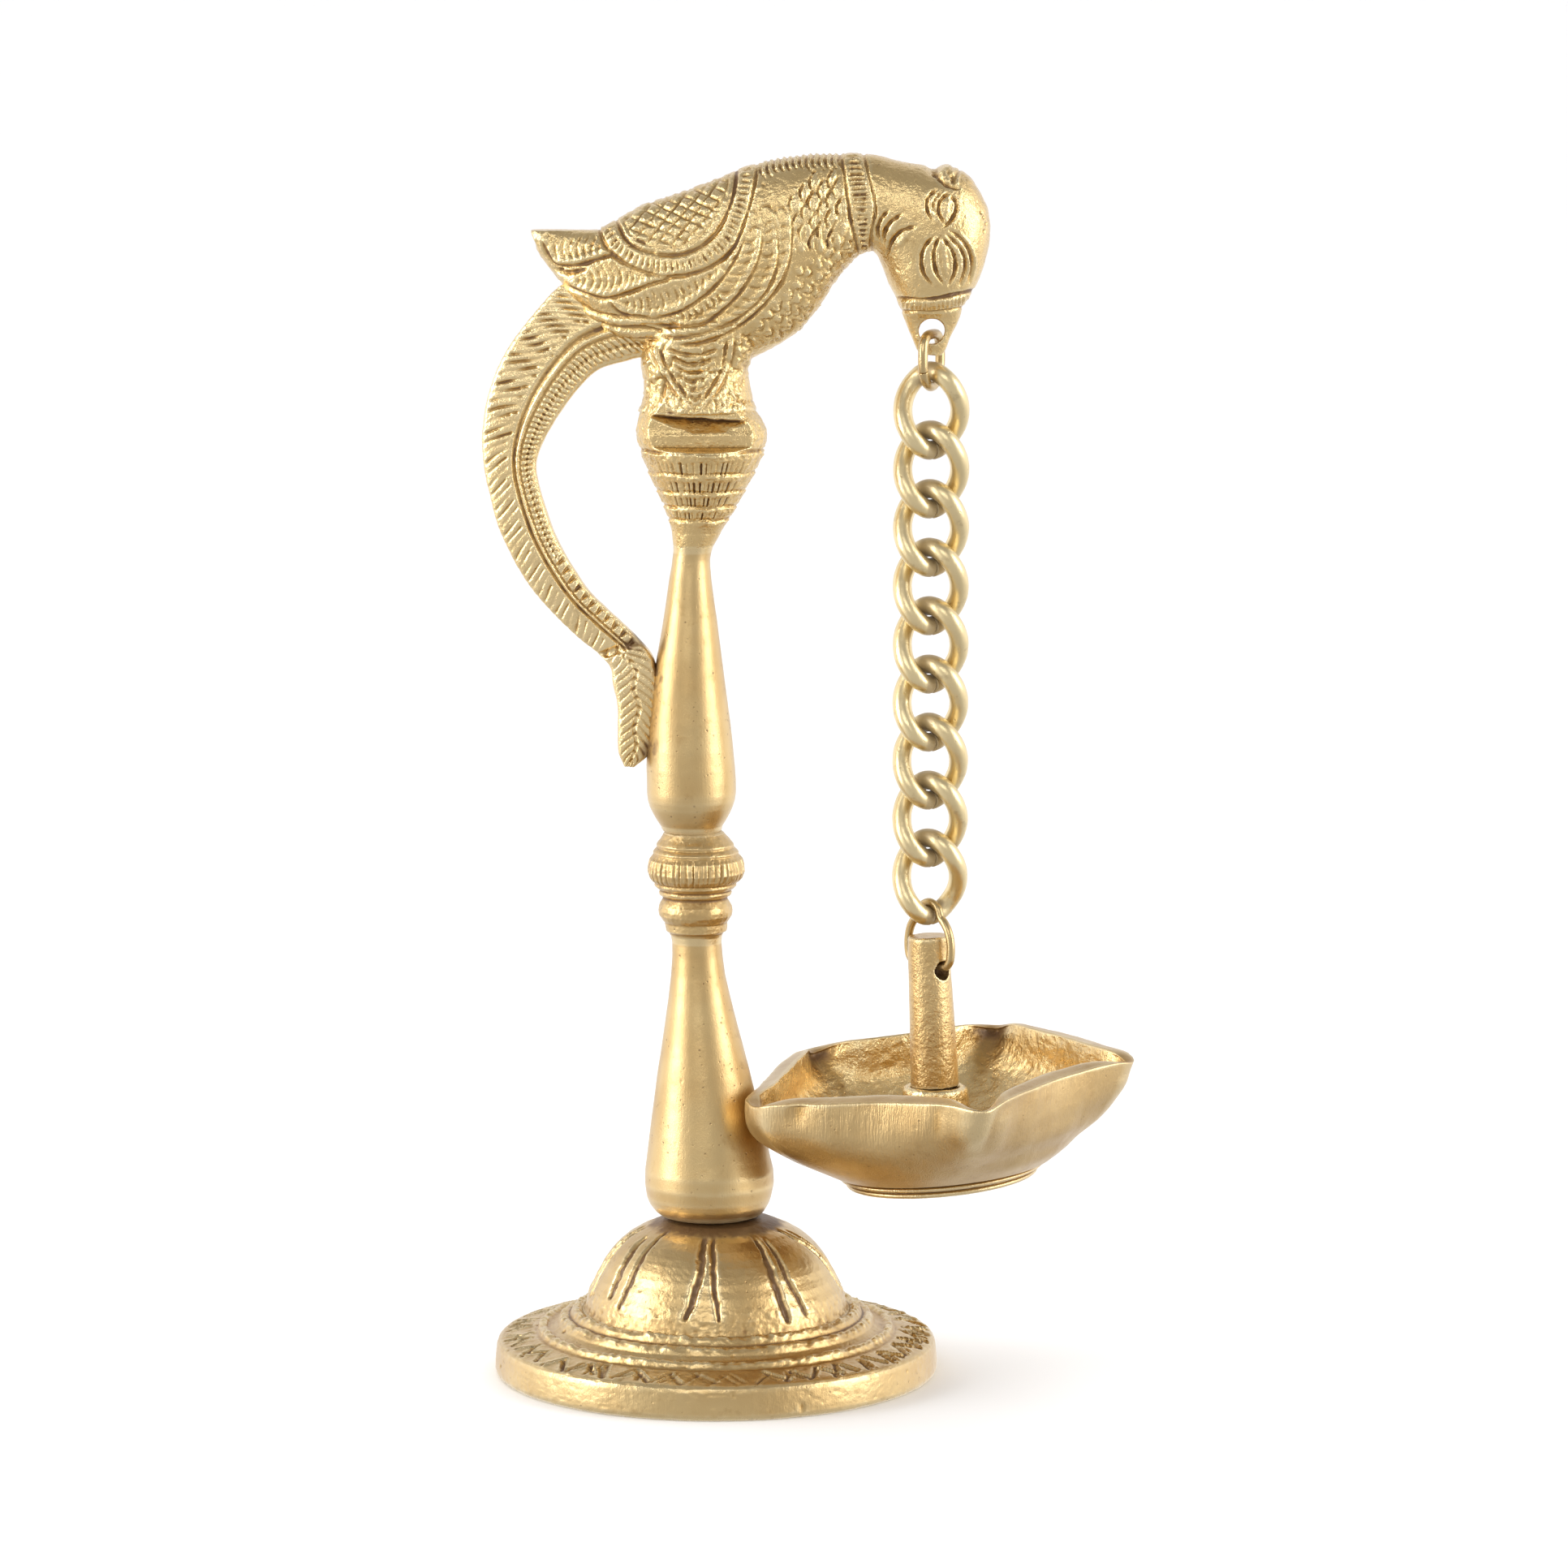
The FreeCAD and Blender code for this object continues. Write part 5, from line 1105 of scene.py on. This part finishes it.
for k in range(ROWS):
    o, i_, h = st[k, 0:2], st[k, 2:4], st[k, 4]
    m, arm = (o + i_) / 2, (o - i_) / 2
    pts = np.stack([m[0] + arm[0] * cc, h * ss, m[1] + arm[1] * cc], 1)
    s = np.concatenate([[0], np.cumsum(np.linalg.norm(np.diff(pts, axis=0), axis=1))])
    q = np.linspace(0, s[-1], COLS, endpoint=False)
    g[k] = np.stack([np.interp(q, s, pts[:, j]) for j in range(3)], 1)
mids = (st[:, 0:2] + st[:, 2:4]) / 2
S = np.concatenate([[0], np.cumsum(np.linalg.norm(np.diff(mids, axis=0), axis=1))])[:, None] + np.zeros((1, COLS))
S = S - 7.8          # measured from where the tail leaves the body
arm = (st[:, 2:4] - st[:, 0:2])
width = np.linalg.norm(arm, axis=1)[:, None]
W = ((g[:, :, 0] - st[:, 0:1]) * arm[:, 0:1] + (g[:, :, 2] - st[:, 1:2]) * arm[:, 1:2]) / width ** 2
P3 = g.reshape(-1, 3)
face = smooth(0.62, 0.9, np.abs(g[:, :, 1]) / st[:, 4:5])
jag = 0.12 * fbm(P3, 2.2, 2, 81).reshape(W.shape)
end = S[-1, 0]
leaf = smooth(end - 21.0, end - 19.0, S)
body = 1 - leaf
off = np.zeros_like(W)
# long barbs on the outer half
lean = np.interp(S, [0, 8, 16, 24, 40, 60, 80], [17.0, 15.0, 9.0, 6.0, 5.0, 4.7, 4.7])
ph = (S + lean * W + jag * 0.8) / 1.34 + 0.12 * np.sin(S * 0.9)
g[:, :, 1] *= 1 - 0.46 * np.clip(1 - W / 0.58, 0, 1) * body      # the barbed half thins to its edge
reach = 0.46 + 0.07 * np.sin(S * 4.4 + 2) * np.sin(S * 1.3)
zone = smooth(0.02, 0.07, W) * (1 - smooth(reach - 0.04, reach + 0.03, W)) * body
shade = np.interp(S, [0, 22, 34, 60], [1.0, 0.9, 0.62, 0.55])
off -= zone * 0.44 * shade * np.clip(np.cos(ph * 2 * math.pi) * 1.6 - 0.40, 0, 1) * np.clip(0.65 + 0.5 * np.sin(S * 1.7 + 3 * W), 0.2, 1.1) * face
edge_z = (1 - smooth(0.0, 0.10, W)) * (1 - face) * body
off -= edge_z * 0.04 * np.clip(np.cos(ph * 2 * math.pi) * 1.4 - 0.2, 0, 1)
# two grooves down the middle
for w0, wd, dp in ((0.575, 0.055, 0.55), (0.690, 0.035, 0.36), (0.955, 0.03, 0.25)):
    off -= body * dp * bell(W + 0.25 * jag * 0.1, w0, wd) * face
off += body * 0.14 * bell(W, 0.63, 0.05) * face
# beads, then open notches, on the inner half
late = smooth(46.0, 50.0, S)
ph = (S + 0.8 * W + jag) / 1.05
zone = smooth(0.70, 0.73, W) * (1 - smooth(0.92, 0.95, W)) * body * (1 - late)
off -= zone * 0.36 * np.clip(np.cos(ph * 2 * math.pi) * 1.5 - 0.5, 0, 1) * face
off -= body * (1 - late) * 0.30 * bell(W, 0.825, 0.03) * face
ph = (S + 2.4 * W + jag) / 1.75
zone = smooth(0.68, 0.74, W) * (1 - smooth(0.95, 0.99, W)) * body * late
tri = np.clip(np.cos(ph * 2 * math.pi) * 1.5 - 0.9 + 0.9 * smooth(0.72, 0.95, W), 0, 1)
off -= zone * 0.62 * tri * face
# leaf at the end
ph = (S - 5.5 * np.abs(W - 0.5) + jag) / 1.5
off -= leaf * face * 0.22 * np.clip(np.cos(ph * 2 * math.pi) * 1.4 - 0.4, 0, 1) * smooth(0.06, 0.16, W) * (1 - smooth(0.86, 0.95, W))
off -= leaf * face * 0.24 * bell(W, 0.5 + 0.05 * np.sin(S), 0.07)
off -= 0.5 * bell(S, end - 20.4, 0.9) * face
off += 0.06 * fbm(P3, 1.3, 3, 82).reshape(W.shape) + 0.06 * fbm(P3, 5.0, 2, 83).reshape(W.shape)
du = np.roll(g, -1, 1) - np.roll(g, 1, 1)
dv = np.gradient(g, axis=0)
nr = np.cross(du, dv)
nr /= np.maximum(np.linalg.norm(nr, axis=2), 1e-9)[:, :, None]
if (nr[ROWS // 2, :, 1] * g[ROWS // 2, :, 1]).sum() < 0:
    nr = -nr
mid_y = np.zeros_like(g)
g2 = g + nr * off[:, :, None]
braze = np.exp(-((S - (end - 20.5)) / 2.2) ** 2) + np.exp(-((S - (end - 3.0)) / 2.5) ** 2) * smooth(0.5, 0.9, W)
mottle = 0.5 + 0.5 * fbm(P3, 2.0, 3, 84).reshape(W.shape)
dark = np.clip(0.75 * smooth(0.24, 0.55, -off) * smooth(0.45, 0.75, mottle) + 0.85 * braze * smooth(0.35, 0.8, W), 0, 1)
tube_piece("tail_plume_cast", g2, "stand", ["tail_plume"], M_TAIL, 0.18, dark)

# ======================================================================= bowl
RIM = [
    (8.0, 32.2), (25.0, 27.1), (42.0, 25.3), (60.0, 27.4), (78.0, 32.4),
    (95.0, 26.8), (115.0, 24.9), (135.0, 28.6), (155.0, 34.6), (174.0, 29.5),
    (193.0, 28.1), (212.0, 29.6), (231.0, 33.2), (245.0, 29.6), (260.0, 28.8),
    (274.0, 30.4), (288.0, 34.8), (308.0, 29.6), (328.0, 27.6), (348.0, 28.4)]
BX, BY, RL, FL = 36.42, -0.92, 50.8, 32.0
SLOPE = math.tan(math.radians(3.5))
NT = 340
ring_xy = np.array([(r_ * math.cos(math.radians(q)), r_ * math.sin(math.radians(q))) for q, r_ in RIM])
loop = curve_through(ring_xy, 1600, closed=True)
ang = np.unwrap(np.arctan2(loop[:, 1], loop[:, 0]))
rad_ = np.linalg.norm(loop, axis=1)
th = np.linspace(0, 2 * math.pi, NT, endpoint=False)
order = np.argsort(ang % (2 * math.pi))
RR = np.interp(th, (ang % (2 * math.pi))[order], rad_[order], period=2 * math.pi)
blunt = np.abs((th - math.radians(155) + math.pi) % (2 * math.pi) - math.pi)
RR = np.where(blunt < 0.25, np.minimum(RR, 33.2 / np.cos(np.clip(blunt, 0, 0.25))), RR)
lips = [math.radians(q) for q in (8, 78, 155, 231, 288)]


def near_lip(width):
    out = np.zeros(NT)
    for q in lips:
        d_ = (th - q + math.pi) % (2 * math.pi) - math.pi
        out = np.maximum(out, np.exp(-(d_ / math.radians(width)) ** 2))
    return out


sharp, wide_lip = near_lip(5.5), near_lip(13)
RV = RL + 0.9
# sections: level, lobes, mean radius, inset, shift, tilt, sharp-lip dip
outer_key = [(34.75, 0.0, 17.9, 0, 0.80, 1.5), (36.6, 0.05, 20.3, 0, 0.55, 1.5), (38.6, 0.18, 21.8, 0, -0.1, 1.42),
             (40.8, 0.35, 23.5, 0, -0.2, 1.33), (43.4, 0.56, 25.0, 0, -0.5, 1.22), (46.0, 0.75, 26.3, 0, -0.4, 1.12),
             (48.9, 0.90, 27.0, 0, -0.15, 1.04), (RV - 0.9, 1.0, 27.0, 0.0, 0.0, 1.0)]
inner_key = [(RV - 0.50, 1.0, 26.0, 3.1, 0.0, 1.0), (RV - 1.9, 0.95, 24.8, 3.4, 0.0, 1.0), (RV - 4.0, 0.85, 24.0, 3.4, 0.0, 1.05), (45.0, 0.58, 22.6, 2.8, -0.05, 1.15),
             (42.8, 0.35, 21.0, 2.6, -0.1, 1.2), (40.8, 0.17, 19.2, 2.2, -0.1, 1.18), (39.5, 0.05, 17.0, 2.0, -0.1, 1.15),
             (38.7, 0.01, 15.0, 0.5, -0.1, 1.12), (38.5, 0.0, 13.0, 0.0, -0.1, 1.1), (38.5, 0.0, 9.6, 0.0, -0.1, 1.1)]
under_key = [(34.5, 0.6), (34.5, 4.0), (34.5, 8.0), (34.5, 10.9), (34.3, 11.3), (33.7, 11.4), (32.7, 11.4), (32.38, 11.6), (32.3, 11.9),
             (32.3, 13.2), (32.3, 14.9), (32.36, 15.3), (32.6, 15.65), (33.05, 15.8), (33.25, 15.2), (33.42, 15.2), (33.55, 16.2),
             (33.8, 16.75), (34.15, 16.8), (34.3, 16.1), (34.45, 16.1), (34.58, 17.2), (34.7, 17.7)]
rows, kind = [], []


def bowl_row(lev, lobes, mean, inset, shift, tilt_, dip=0.0, pinch=0.0):
    r_ = mean * (1 - lobes) + (RR - inset + pinch * sharp) * lobes
    r_ = r_ * (1 + 0.05 * np.clip(-np.cos(th), 0, 1) ** 2 * 4 * lobes * (1 - lobes))
    x = r_ * np.cos(th)
    lean = lobes ** 2 * (0.026 * x - 0.026 * r_ * np.sin(th))
    return np.stack([BX + shift + x, BY - r_ * np.sin(th), lev + SLOPE * x * tilt_ + lean - dip * sharp], 1)


uk = curve_points(np.array(under_key)[:, ::-1], 60)
for r_, z in uk:
    rows.append(bowl_row(z, 0, r_, 0, 0.70, 1.5))
    kind.append(0)
for key in curve_through(outer_key, 84):
    rows.append(bowl_row(*key, dip=0.8 * smooth(0.75, 1.0, key[1])))
    kind.append(1)
for t in np.linspace(0.12, 1.0, 9):   # ground rim, a little proud at the inside
    lev = RV - 0.9 + 0.62 * math.sin(t * 1.45) + 0.02
    rows.append(bowl_row(lev, 1.0, 26, 3.0 * t, 0, 1.0, dip=0.8 + 0.95 * t, pinch=1.6 * t))
    kind.append(2)
for j, key in enumerate(curve_through(inner_key, 96)):
    f = 1 - smooth(0, 26, j)
    rows.append(bowl_row(*key, dip=1.75 * f, pinch=1.6 * f + 0.7 * (1 - smooth(10, 50, j))))
    kind.append(3)
# boss round the post's foot, on the post's leaning axis
lean_v = np.array([math.sin(math.radians(2.8)), 0, -math.cos(math.radians(2.8))])
piv = np.array([35.03, 0, 67.22])
for r_, z in curve_points(np.array([(7.6, 38.5), (6.9, 38.9), (6.35, 40.0), (5.9, 42.5), (5.55, 45.5), (5.35, 46.9), (5.1, 47.4), (4.6, 47.62), (4.05, 47.5), (3.9, 47.2), (3.9, 46.4)]), 44):
    c_ = piv + lean_v * (piv[2] - z)
    rows.append(np.stack([c_[0] + r_ * np.cos(th), c_[1] - r_ * np.sin(th), z + 0 * th], 1))
    kind.append(4)
g = np.array(rows)
kind = np.array(kind)
n_rows = len(rows)
P3 = g.reshape(-1, 3)
K = kind[:, None] + 0 * th[None, :]
du = np.roll(g, -1, 1) - np.roll(g, 1, 1)
dv = np.gradient(g, axis=0)
nr = np.cross(du, dv)
nr /= np.maximum(np.linalg.norm(nr, axis=2), 1e-9)[:, :, None]
test = nr[70, 0]
if test[0] < 0:
    nr = -nr
off = np.zeros(K.shape)
rough = (fbm(P3, 1.1, 3, 91)).reshape(K.shape)
wide = (fbm(P3, 5.5, 2, 92)).reshape(K.shape)
inside_f = np.where(K == 3, 1.0, np.where(K == 4, 0.6, 0.0))
off += inside_f * (0.17 * rough + 0.26 * wide) + inside_f * -0.05 * pits(P3, 1.6, 93, 0.15, 0.1, 0.22).reshape(K.shape)
T = th[None, :] + 0 * K
H = g[:, :, 2]
# outside: long upright file strokes and flat patches
strokes = noise(np.stack([T * 62, H / 14.0, 0 * T], -1).reshape(-1, 3), 1.0, 94).reshape(K.shape)
strokes += 0.6 * noise(np.stack([T * 25, H / 9.0, 0 * T + 5], -1).reshape(-1, 3), 1.0, 95).reshape(K.shape)
out_f = np.where(K == 1, 1.0, 0.0) * smooth(35.5, 37.5, H)
off += out_f * ((0.016 + 0.020 * smooth(43, 47, H)) * strokes + 0.14 * wide + 0.03 * rough - 0.10 * pits(P3, 2.2, 96, 0.2, 0.08, 0.2).reshape(K.shape))
off += np.where(K == 2, 0.05 * rough + 0.06 * wide, 0) + np.where(K == 0, 0.03 * rough, 0)
for q, w_, d_, z0, z1 in ((80, 6.5, 0.45, 41.5, 50.5), (70, 5.0, 0.22, 40.5, 48.5), (91, 3.0, -0.20, 42.5, 49.5), (140, 4.0, -0.40, 43.5, 51.0),
                          (155, 6.0, 0.30, 42, 49), (8, 7.0, 0.3, 42, 50), (231, 6, 0.35, 42, 49.5), (288, 6, 0.35, 42, 49.5)):
    dd = (T - math.radians(q) + math.pi) % (2 * math.pi) - math.pi
    off += d_ * bell(dd, 0, math.radians(w_)) ** 1.5 * smooth(z0, z0 + 4, H) * (1 - smooth(z1 - 1.0, z1 + 1.5, H)) * np.where(K == 1, 1, 0)
g2 = g + nr * off[:, :, None]
mottle = 0.5 + 0.5 * fbm(P3, 1.5, 3, 97).reshape(K.shape)
row_lev = np.concatenate([uk[:, 1], np.zeros(n_rows - len(uk))])[:, None] + 0 * T
row_n = np.arange(n_rows)[:, None] + 0 * T
first_in = int(np.argmax(kind == 3))
# inside: painted shade in a band just below the rim's inner edge, darker towards the bottom, with dark patches; darker
# at the foot of the boss; dark lines in the two grooves of the foot
dark = np.where(K == 3, 0.45 * np.exp(-((row_n - first_in - 5) / 5.0) ** 2) * (0.4 + 0.8 * mottle) + 0.10 * smooth(41, 38.5, H) + 0.55 * smooth(0.72, 0.9, mottle), 0.0) + np.where(K == 4, 0.35 * smooth(40.5, 39, H), 0) + np.where(K == 0, 0.75 * bell(row_lev, 33.34, 0.13) + 0.8 * bell(row_lev, 34.38, 0.14), 0) * (0.5 + 0.7 * mottle)
bowl_ob = tube_piece("oil_bowl", g2, "bowl", ["diya_bowl"], M_BOWL, 0.24, np.clip(dark, 0, 1))
bowl_ob.data.materials.append(M_BOWL_IN_PAINTED_LIGHT)
which = np.zeros(len(bowl_ob.data.polygons), np.int32)
quad_row = np.arange((n_rows - 1) * NT) // NT
which[:len(quad_row)] = kind[quad_row] >= 3
which[len(quad_row) + NT:] = 1
bowl_ob.data.polygons.foreach_set("material_index", which)

# ======================================================================= post
P, e, faces = node_blank("diya_post", 0.19, [])
P = relax(P, e, 3, 0.4)
nr = normals_of(P, faces)
off = 0.07 * fbm(P * [1, 1, 0.7], 2.0, 3, 101) + 0.06 * fbm(P, 6.0, 2, 102) - 0.14 * pits(P, 1.3, 103, 0.25, 0.08, 0.18)
hole = np.linalg.norm(P - piv, axis=1)
patina_shade_fac = 0.85 * np.exp(-(hole / 3.6) ** 2) + 0.7 * smooth(49.2, 47.6, P[:, 2])
make_piece("lamp_post", P + nr * off[:, None], faces, "bowl", ["diya_post"], M_POST, 0.15, np.clip(patina_shade_fac, 0, 1))

# ====================================================== ring, links, hanger
CX = 35.03


def spow(v, p):
    return math.copysign(abs(v) ** p, v)


pts = []
for k in range(33):
    t = math.radians(202.0) + (2 * math.pi - 0.03) * k / 32
    c_, s_ = math.cos(t), math.sin(t)
    pts.append((0.0, 4.35 * spow(c_, 2.0 / 3.3 if s_ > 0 else 1.0), 4.22 * spow(s_, 2.0 / 3.3 if s_ > 0 else 1.0) - 4.22))
p = curve_through(pts, 150)
t20 = math.radians(-20.0)
p = np.stack([CX + p[:, 0] * math.cos(t20) - p[:, 1] * math.sin(t20), p[:, 0] * math.sin(t20) + p[:, 1] * math.cos(t20), 171.0 + p[:, 2]], 1)


def wire_piece(name, path, r_, body, nodes, mat, cols, seed, normal, amp=0.03, dark_fn=None, shape=None):
    gg = sweep(path, r_, cols, normal, True, shape)
    PP = gg.reshape(-1, 3)
    cen = gg.mean(1, keepdims=True)
    d_ = gg - cen
    d_ /= np.maximum(np.linalg.norm(d_, axis=2), 1e-9)[:, :, None]
    o_ = amp * fbm(PP, 1.2, 3, seed) + amp * 0.8 * fbm(PP, 4.0, 2, seed + 1) - amp * 2.2 * pits(PP, 1.4, seed + 2, 0.2, 0.08, 0.18)
    gg = gg + d_ * o_.reshape(gg.shape[:2])[:, :, None]
    dk = np.zeros(gg.shape[:2]) if dark_fn is None else dark_fn(gg)
    tube_piece(name, gg, body, nodes, mat, 0.12, dk)


wire_piece("lamp_beak_ring", p, 0.8, "ring", ["beak_ring"], M_WIRE, 26, 111, (1, 0, 0), 0.02,
           lambda q: np.clip(smooth(170.4, 171.6, q[:, :, 2]) * 0.6, 0, 1))

pts = []
hc = 0.225 / 4.62
for k in range(37):
    t = -math.pi / 2 + hc + (2 * math.pi - 2 * hc) * k / 36
    x = 4.62 * spow(math.cos(t), 2.0 / 2.15)
    z = 6.42 * spow(math.sin(t), 2.0 / 2.15)
    q = -math.radians(45.0) * z / 6.42
    pts.append((x * math.cos(q), x * math.sin(q), z))
link_path = curve_through(pts, 190)
for k in range(9):
    lev = 158.64 - 9.54 * k

    def link_dark(q, lev=lev, k=k):
        z = q[:, :, 2] - lev
        side = np.hypot(q[:, :, 0] - CX, q[:, :, 1])
        inner = smooth(3.6, 1.4, side)
        return np.clip(0.85 * inner * smooth(3.2, 4.6, np.abs(z)) + 0.5 * smooth(5.4, 4.7, np.abs(z)) * smooth(3.8, 3.0, side) * 0.5
                       + 0.8 * np.exp(-((q[:, :, 0] - CX) / 0.5) ** 2) * smooth(-5.2, -6.0, z), 0, 1)
    wire_piece("lamp_chain_link_%d" % (k + 1), link_path + [CX, 0, lev], 1.55, "link_%d" % (k + 1), ["chain_link_%d" % (k + 1)], M_CHAIN,
               40, 120 + 5 * k, (0, 1, 0), 0.035, link_dark)

ha = math.radians(42.0)
hx, hy = math.sin(ha), -math.cos(ha)
low, topz = 67.85, 78.12
side = [(0.06, low), (1.9, low), (3.65, low + 0.02), (4.7, low + 0.85), (5.05, low + 2.3), (5.0, low + 4.1),
        (4.5, low + 5.8), (3.6, low + 7.1), (2.65, topz - 2.3), (1.85, topz - 0.76), (0.0, topz)]
loop2 = side + [(-s_, z) for s_, z in side[-2::-1]]
p = curve_through([(s_ * hx, s_ * hy, z) for s_, z in loop2], 170) + [CX, 0, 0]
wire_piece("lamp_hanger_wire", p, 0.70, "hanger", ["hanger_wire"], M_WIRE, 20, 171, (0, 0, 1), 0.015,
           lambda q: np.clip(0.6 * smooth(69.0, 68.0, q[:, :, 2]), 0, 1))

for nm in ("base_stud", "base_washer", "base_nut"):
    NODES[nm].data.materials.clear()
    NODES[nm].data.materials.append(M_BOLT)


# =============================================================== studio
def plain(name, colour, rough):
    m, nt = _nodes(name)
    b = nt.nodes.new("ShaderNodeBsdfPrincipled")
    b.inputs["Roughness"].default_value = rough
    c = nt.nodes.new("ShaderNodeTexCoord")
    n = nt.nodes.new("ShaderNodeTexNoise")
    n.inputs["Scale"].default_value = 6.0
    nt.links.new(c.outputs["Object"], n.inputs["Vector"])
    x = nt.nodes.new("ShaderNodeMix")
    x.data_type = "RGBA"
    x.inputs[6].default_value = (*colour, 1)
    x.inputs[7].default_value = (*[v * 0.985 for v in colour], 1)
    nt.links.new(n.outputs["Fac"], x.inputs[0])
    nt.links.new(x.outputs[2], b.inputs["Base Color"])
    o = nt.nodes.new("ShaderNodeOutputMaterial")
    nt.links.new(b.outputs[0], o.inputs[0])
    return m


me = bpy.data.meshes.new("studio_floor")
n = 96
vs = [(0, 0, 0)] + [(90 * math.cos(2 * math.pi * k / n), 90 * math.sin(2 * math.pi * k / n), 0) for k in range(n)]
me.from_pydata(vs, [], [(0, 1 + k, 1 + (k + 1) % n) for k in range(n)])
floor = bpy.data.objects.new("studio_floor", me)
scene.collection.objects.link(floor)
me.materials.append(plain("studio_floor_white", (0.95, 0.95, 0.95), 0.7))
floor.visible_glossy = False     # the metal mirrors the soft grey below the horizon instead

world = bpy.data.worlds.new("studio")
scene.world = world
world.use_nodes = True
nt = world.node_tree
nt.nodes.clear()
tc = nt.nodes.new("ShaderNodeTexCoord")
sep = nt.nodes.new("ShaderNodeSeparateXYZ")
nt.links.new(tc.outputs["Generated"], sep.inputs[0])


def wmap(src, a_, b_, lo, hi):
    r_ = nt.nodes.new("ShaderNodeMapRange")
    r_.interpolation_type = "SMOOTHSTEP"
    for nm, v_ in (("From Min", a_), ("From Max", b_), ("To Min", lo), ("To Max", hi)):
        r_.inputs[nm].default_value = v_
    nt.links.new(src, r_.inputs["Value"])
    return r_.outputs["Result"]


def wadd(a_, b_, op="ADD"):
    m_ = nt.nodes.new("ShaderNodeMath")
    m_.operation = op
    nt.links.new(a_, m_.inputs[0])
    nt.links.new(b_, m_.inputs[1])
    return m_.outputs[0]


xabs = nt.nodes.new("ShaderNodeMath")
xabs.operation = "ABSOLUTE"
nt.links.new(sep.outputs["X"], xabs.inputs[0])
sides = wmap(xabs.outputs[0], 0.48, 0.92, 0.0, 0.80)
behind = wmap(sep.outputs["Y"], 0.30, 0.9, 0.0, 0.50)
below = wmap(sep.outputs["Z"], -0.35, 0.10, 0.60, 0.46)
above = wmap(sep.outputs["Z"], 0.55, 0.97, 0.0, -0.04)
front = wmap(sep.outputs["Y"], -0.95, -0.50, 0.11, 0.0)
low_dim = wmap(sep.outputs["Z"], -0.50, 0.0, 0.42, 1.0)
strength = wadd(wadd(wadd(wadd(sides, front), low_dim, "MULTIPLY"), behind), wadd(below, above))
bg = nt.nodes.new("ShaderNodeBackground")
bg.inputs["Color"].default_value = (1.0, 0.985, 0.985, 1)
nt.links.new(strength, bg.inputs["Strength"])
wo = nt.nodes.new("ShaderNodeOutputWorld")
nt.links.new(bg.outputs[0], wo.inputs[0])


def area(name, loc, target, sx, sy, power, colour=(1, 1, 1)):
    ld = bpy.data.lights.new(name, "AREA")
    ld.shape = "RECTANGLE"
    ld.size, ld.size_y, ld.energy, ld.color = sx, sy, power, colour
    ob = bpy.data.objects.new(name, ld)
    ob.location = loc
    ob.rotation_euler = (Vector(target) - Vector(loc)).to_track_quat("-Z", "Y").to_euler()
    scene.collection.objects.link(ob)


area("left_softbox", (-1.10, -0.28, 0.42), (0, 0, 0.10), 0.55, 0.9, 6.5)
area("right_softbox", (1.10, -0.34, 0.42), (0, 0, 0.10), 0.55, 0.9, 4.9)
area("front_softbox", (-0.20, -1.30, 0.80), (0, 0, 0.10), 0.75, 0.6, 2.6)
sun = bpy.data.lights.new("overhead", "SUN")
sun.energy, sun.angle = 1.35, math.radians(75)
so = bpy.data.objects.new("overhead", sun)
so.rotation_euler = (math.radians(-20), 0, 0)
so.visible_glossy = False        # it only lights the floor
scene.collection.objects.link(so)

cam = bpy.data.cameras.new("view")
cam.sensor_width = 36.0
cam.lens = 147.3
cam.clip_end = 250.0
co = bpy.data.objects.new("view", cam)
co.location = (0.0112, -1.035, 0.249)
co.rotation_euler = (math.radians(90 - 8.32), 0, 0)
scene.collection.objects.link(co)
scene.camera = co
scene.view_settings.view_transform = "Standard"
scene.view_settings.look = "None"
scene.view_settings.exposure = 0.0
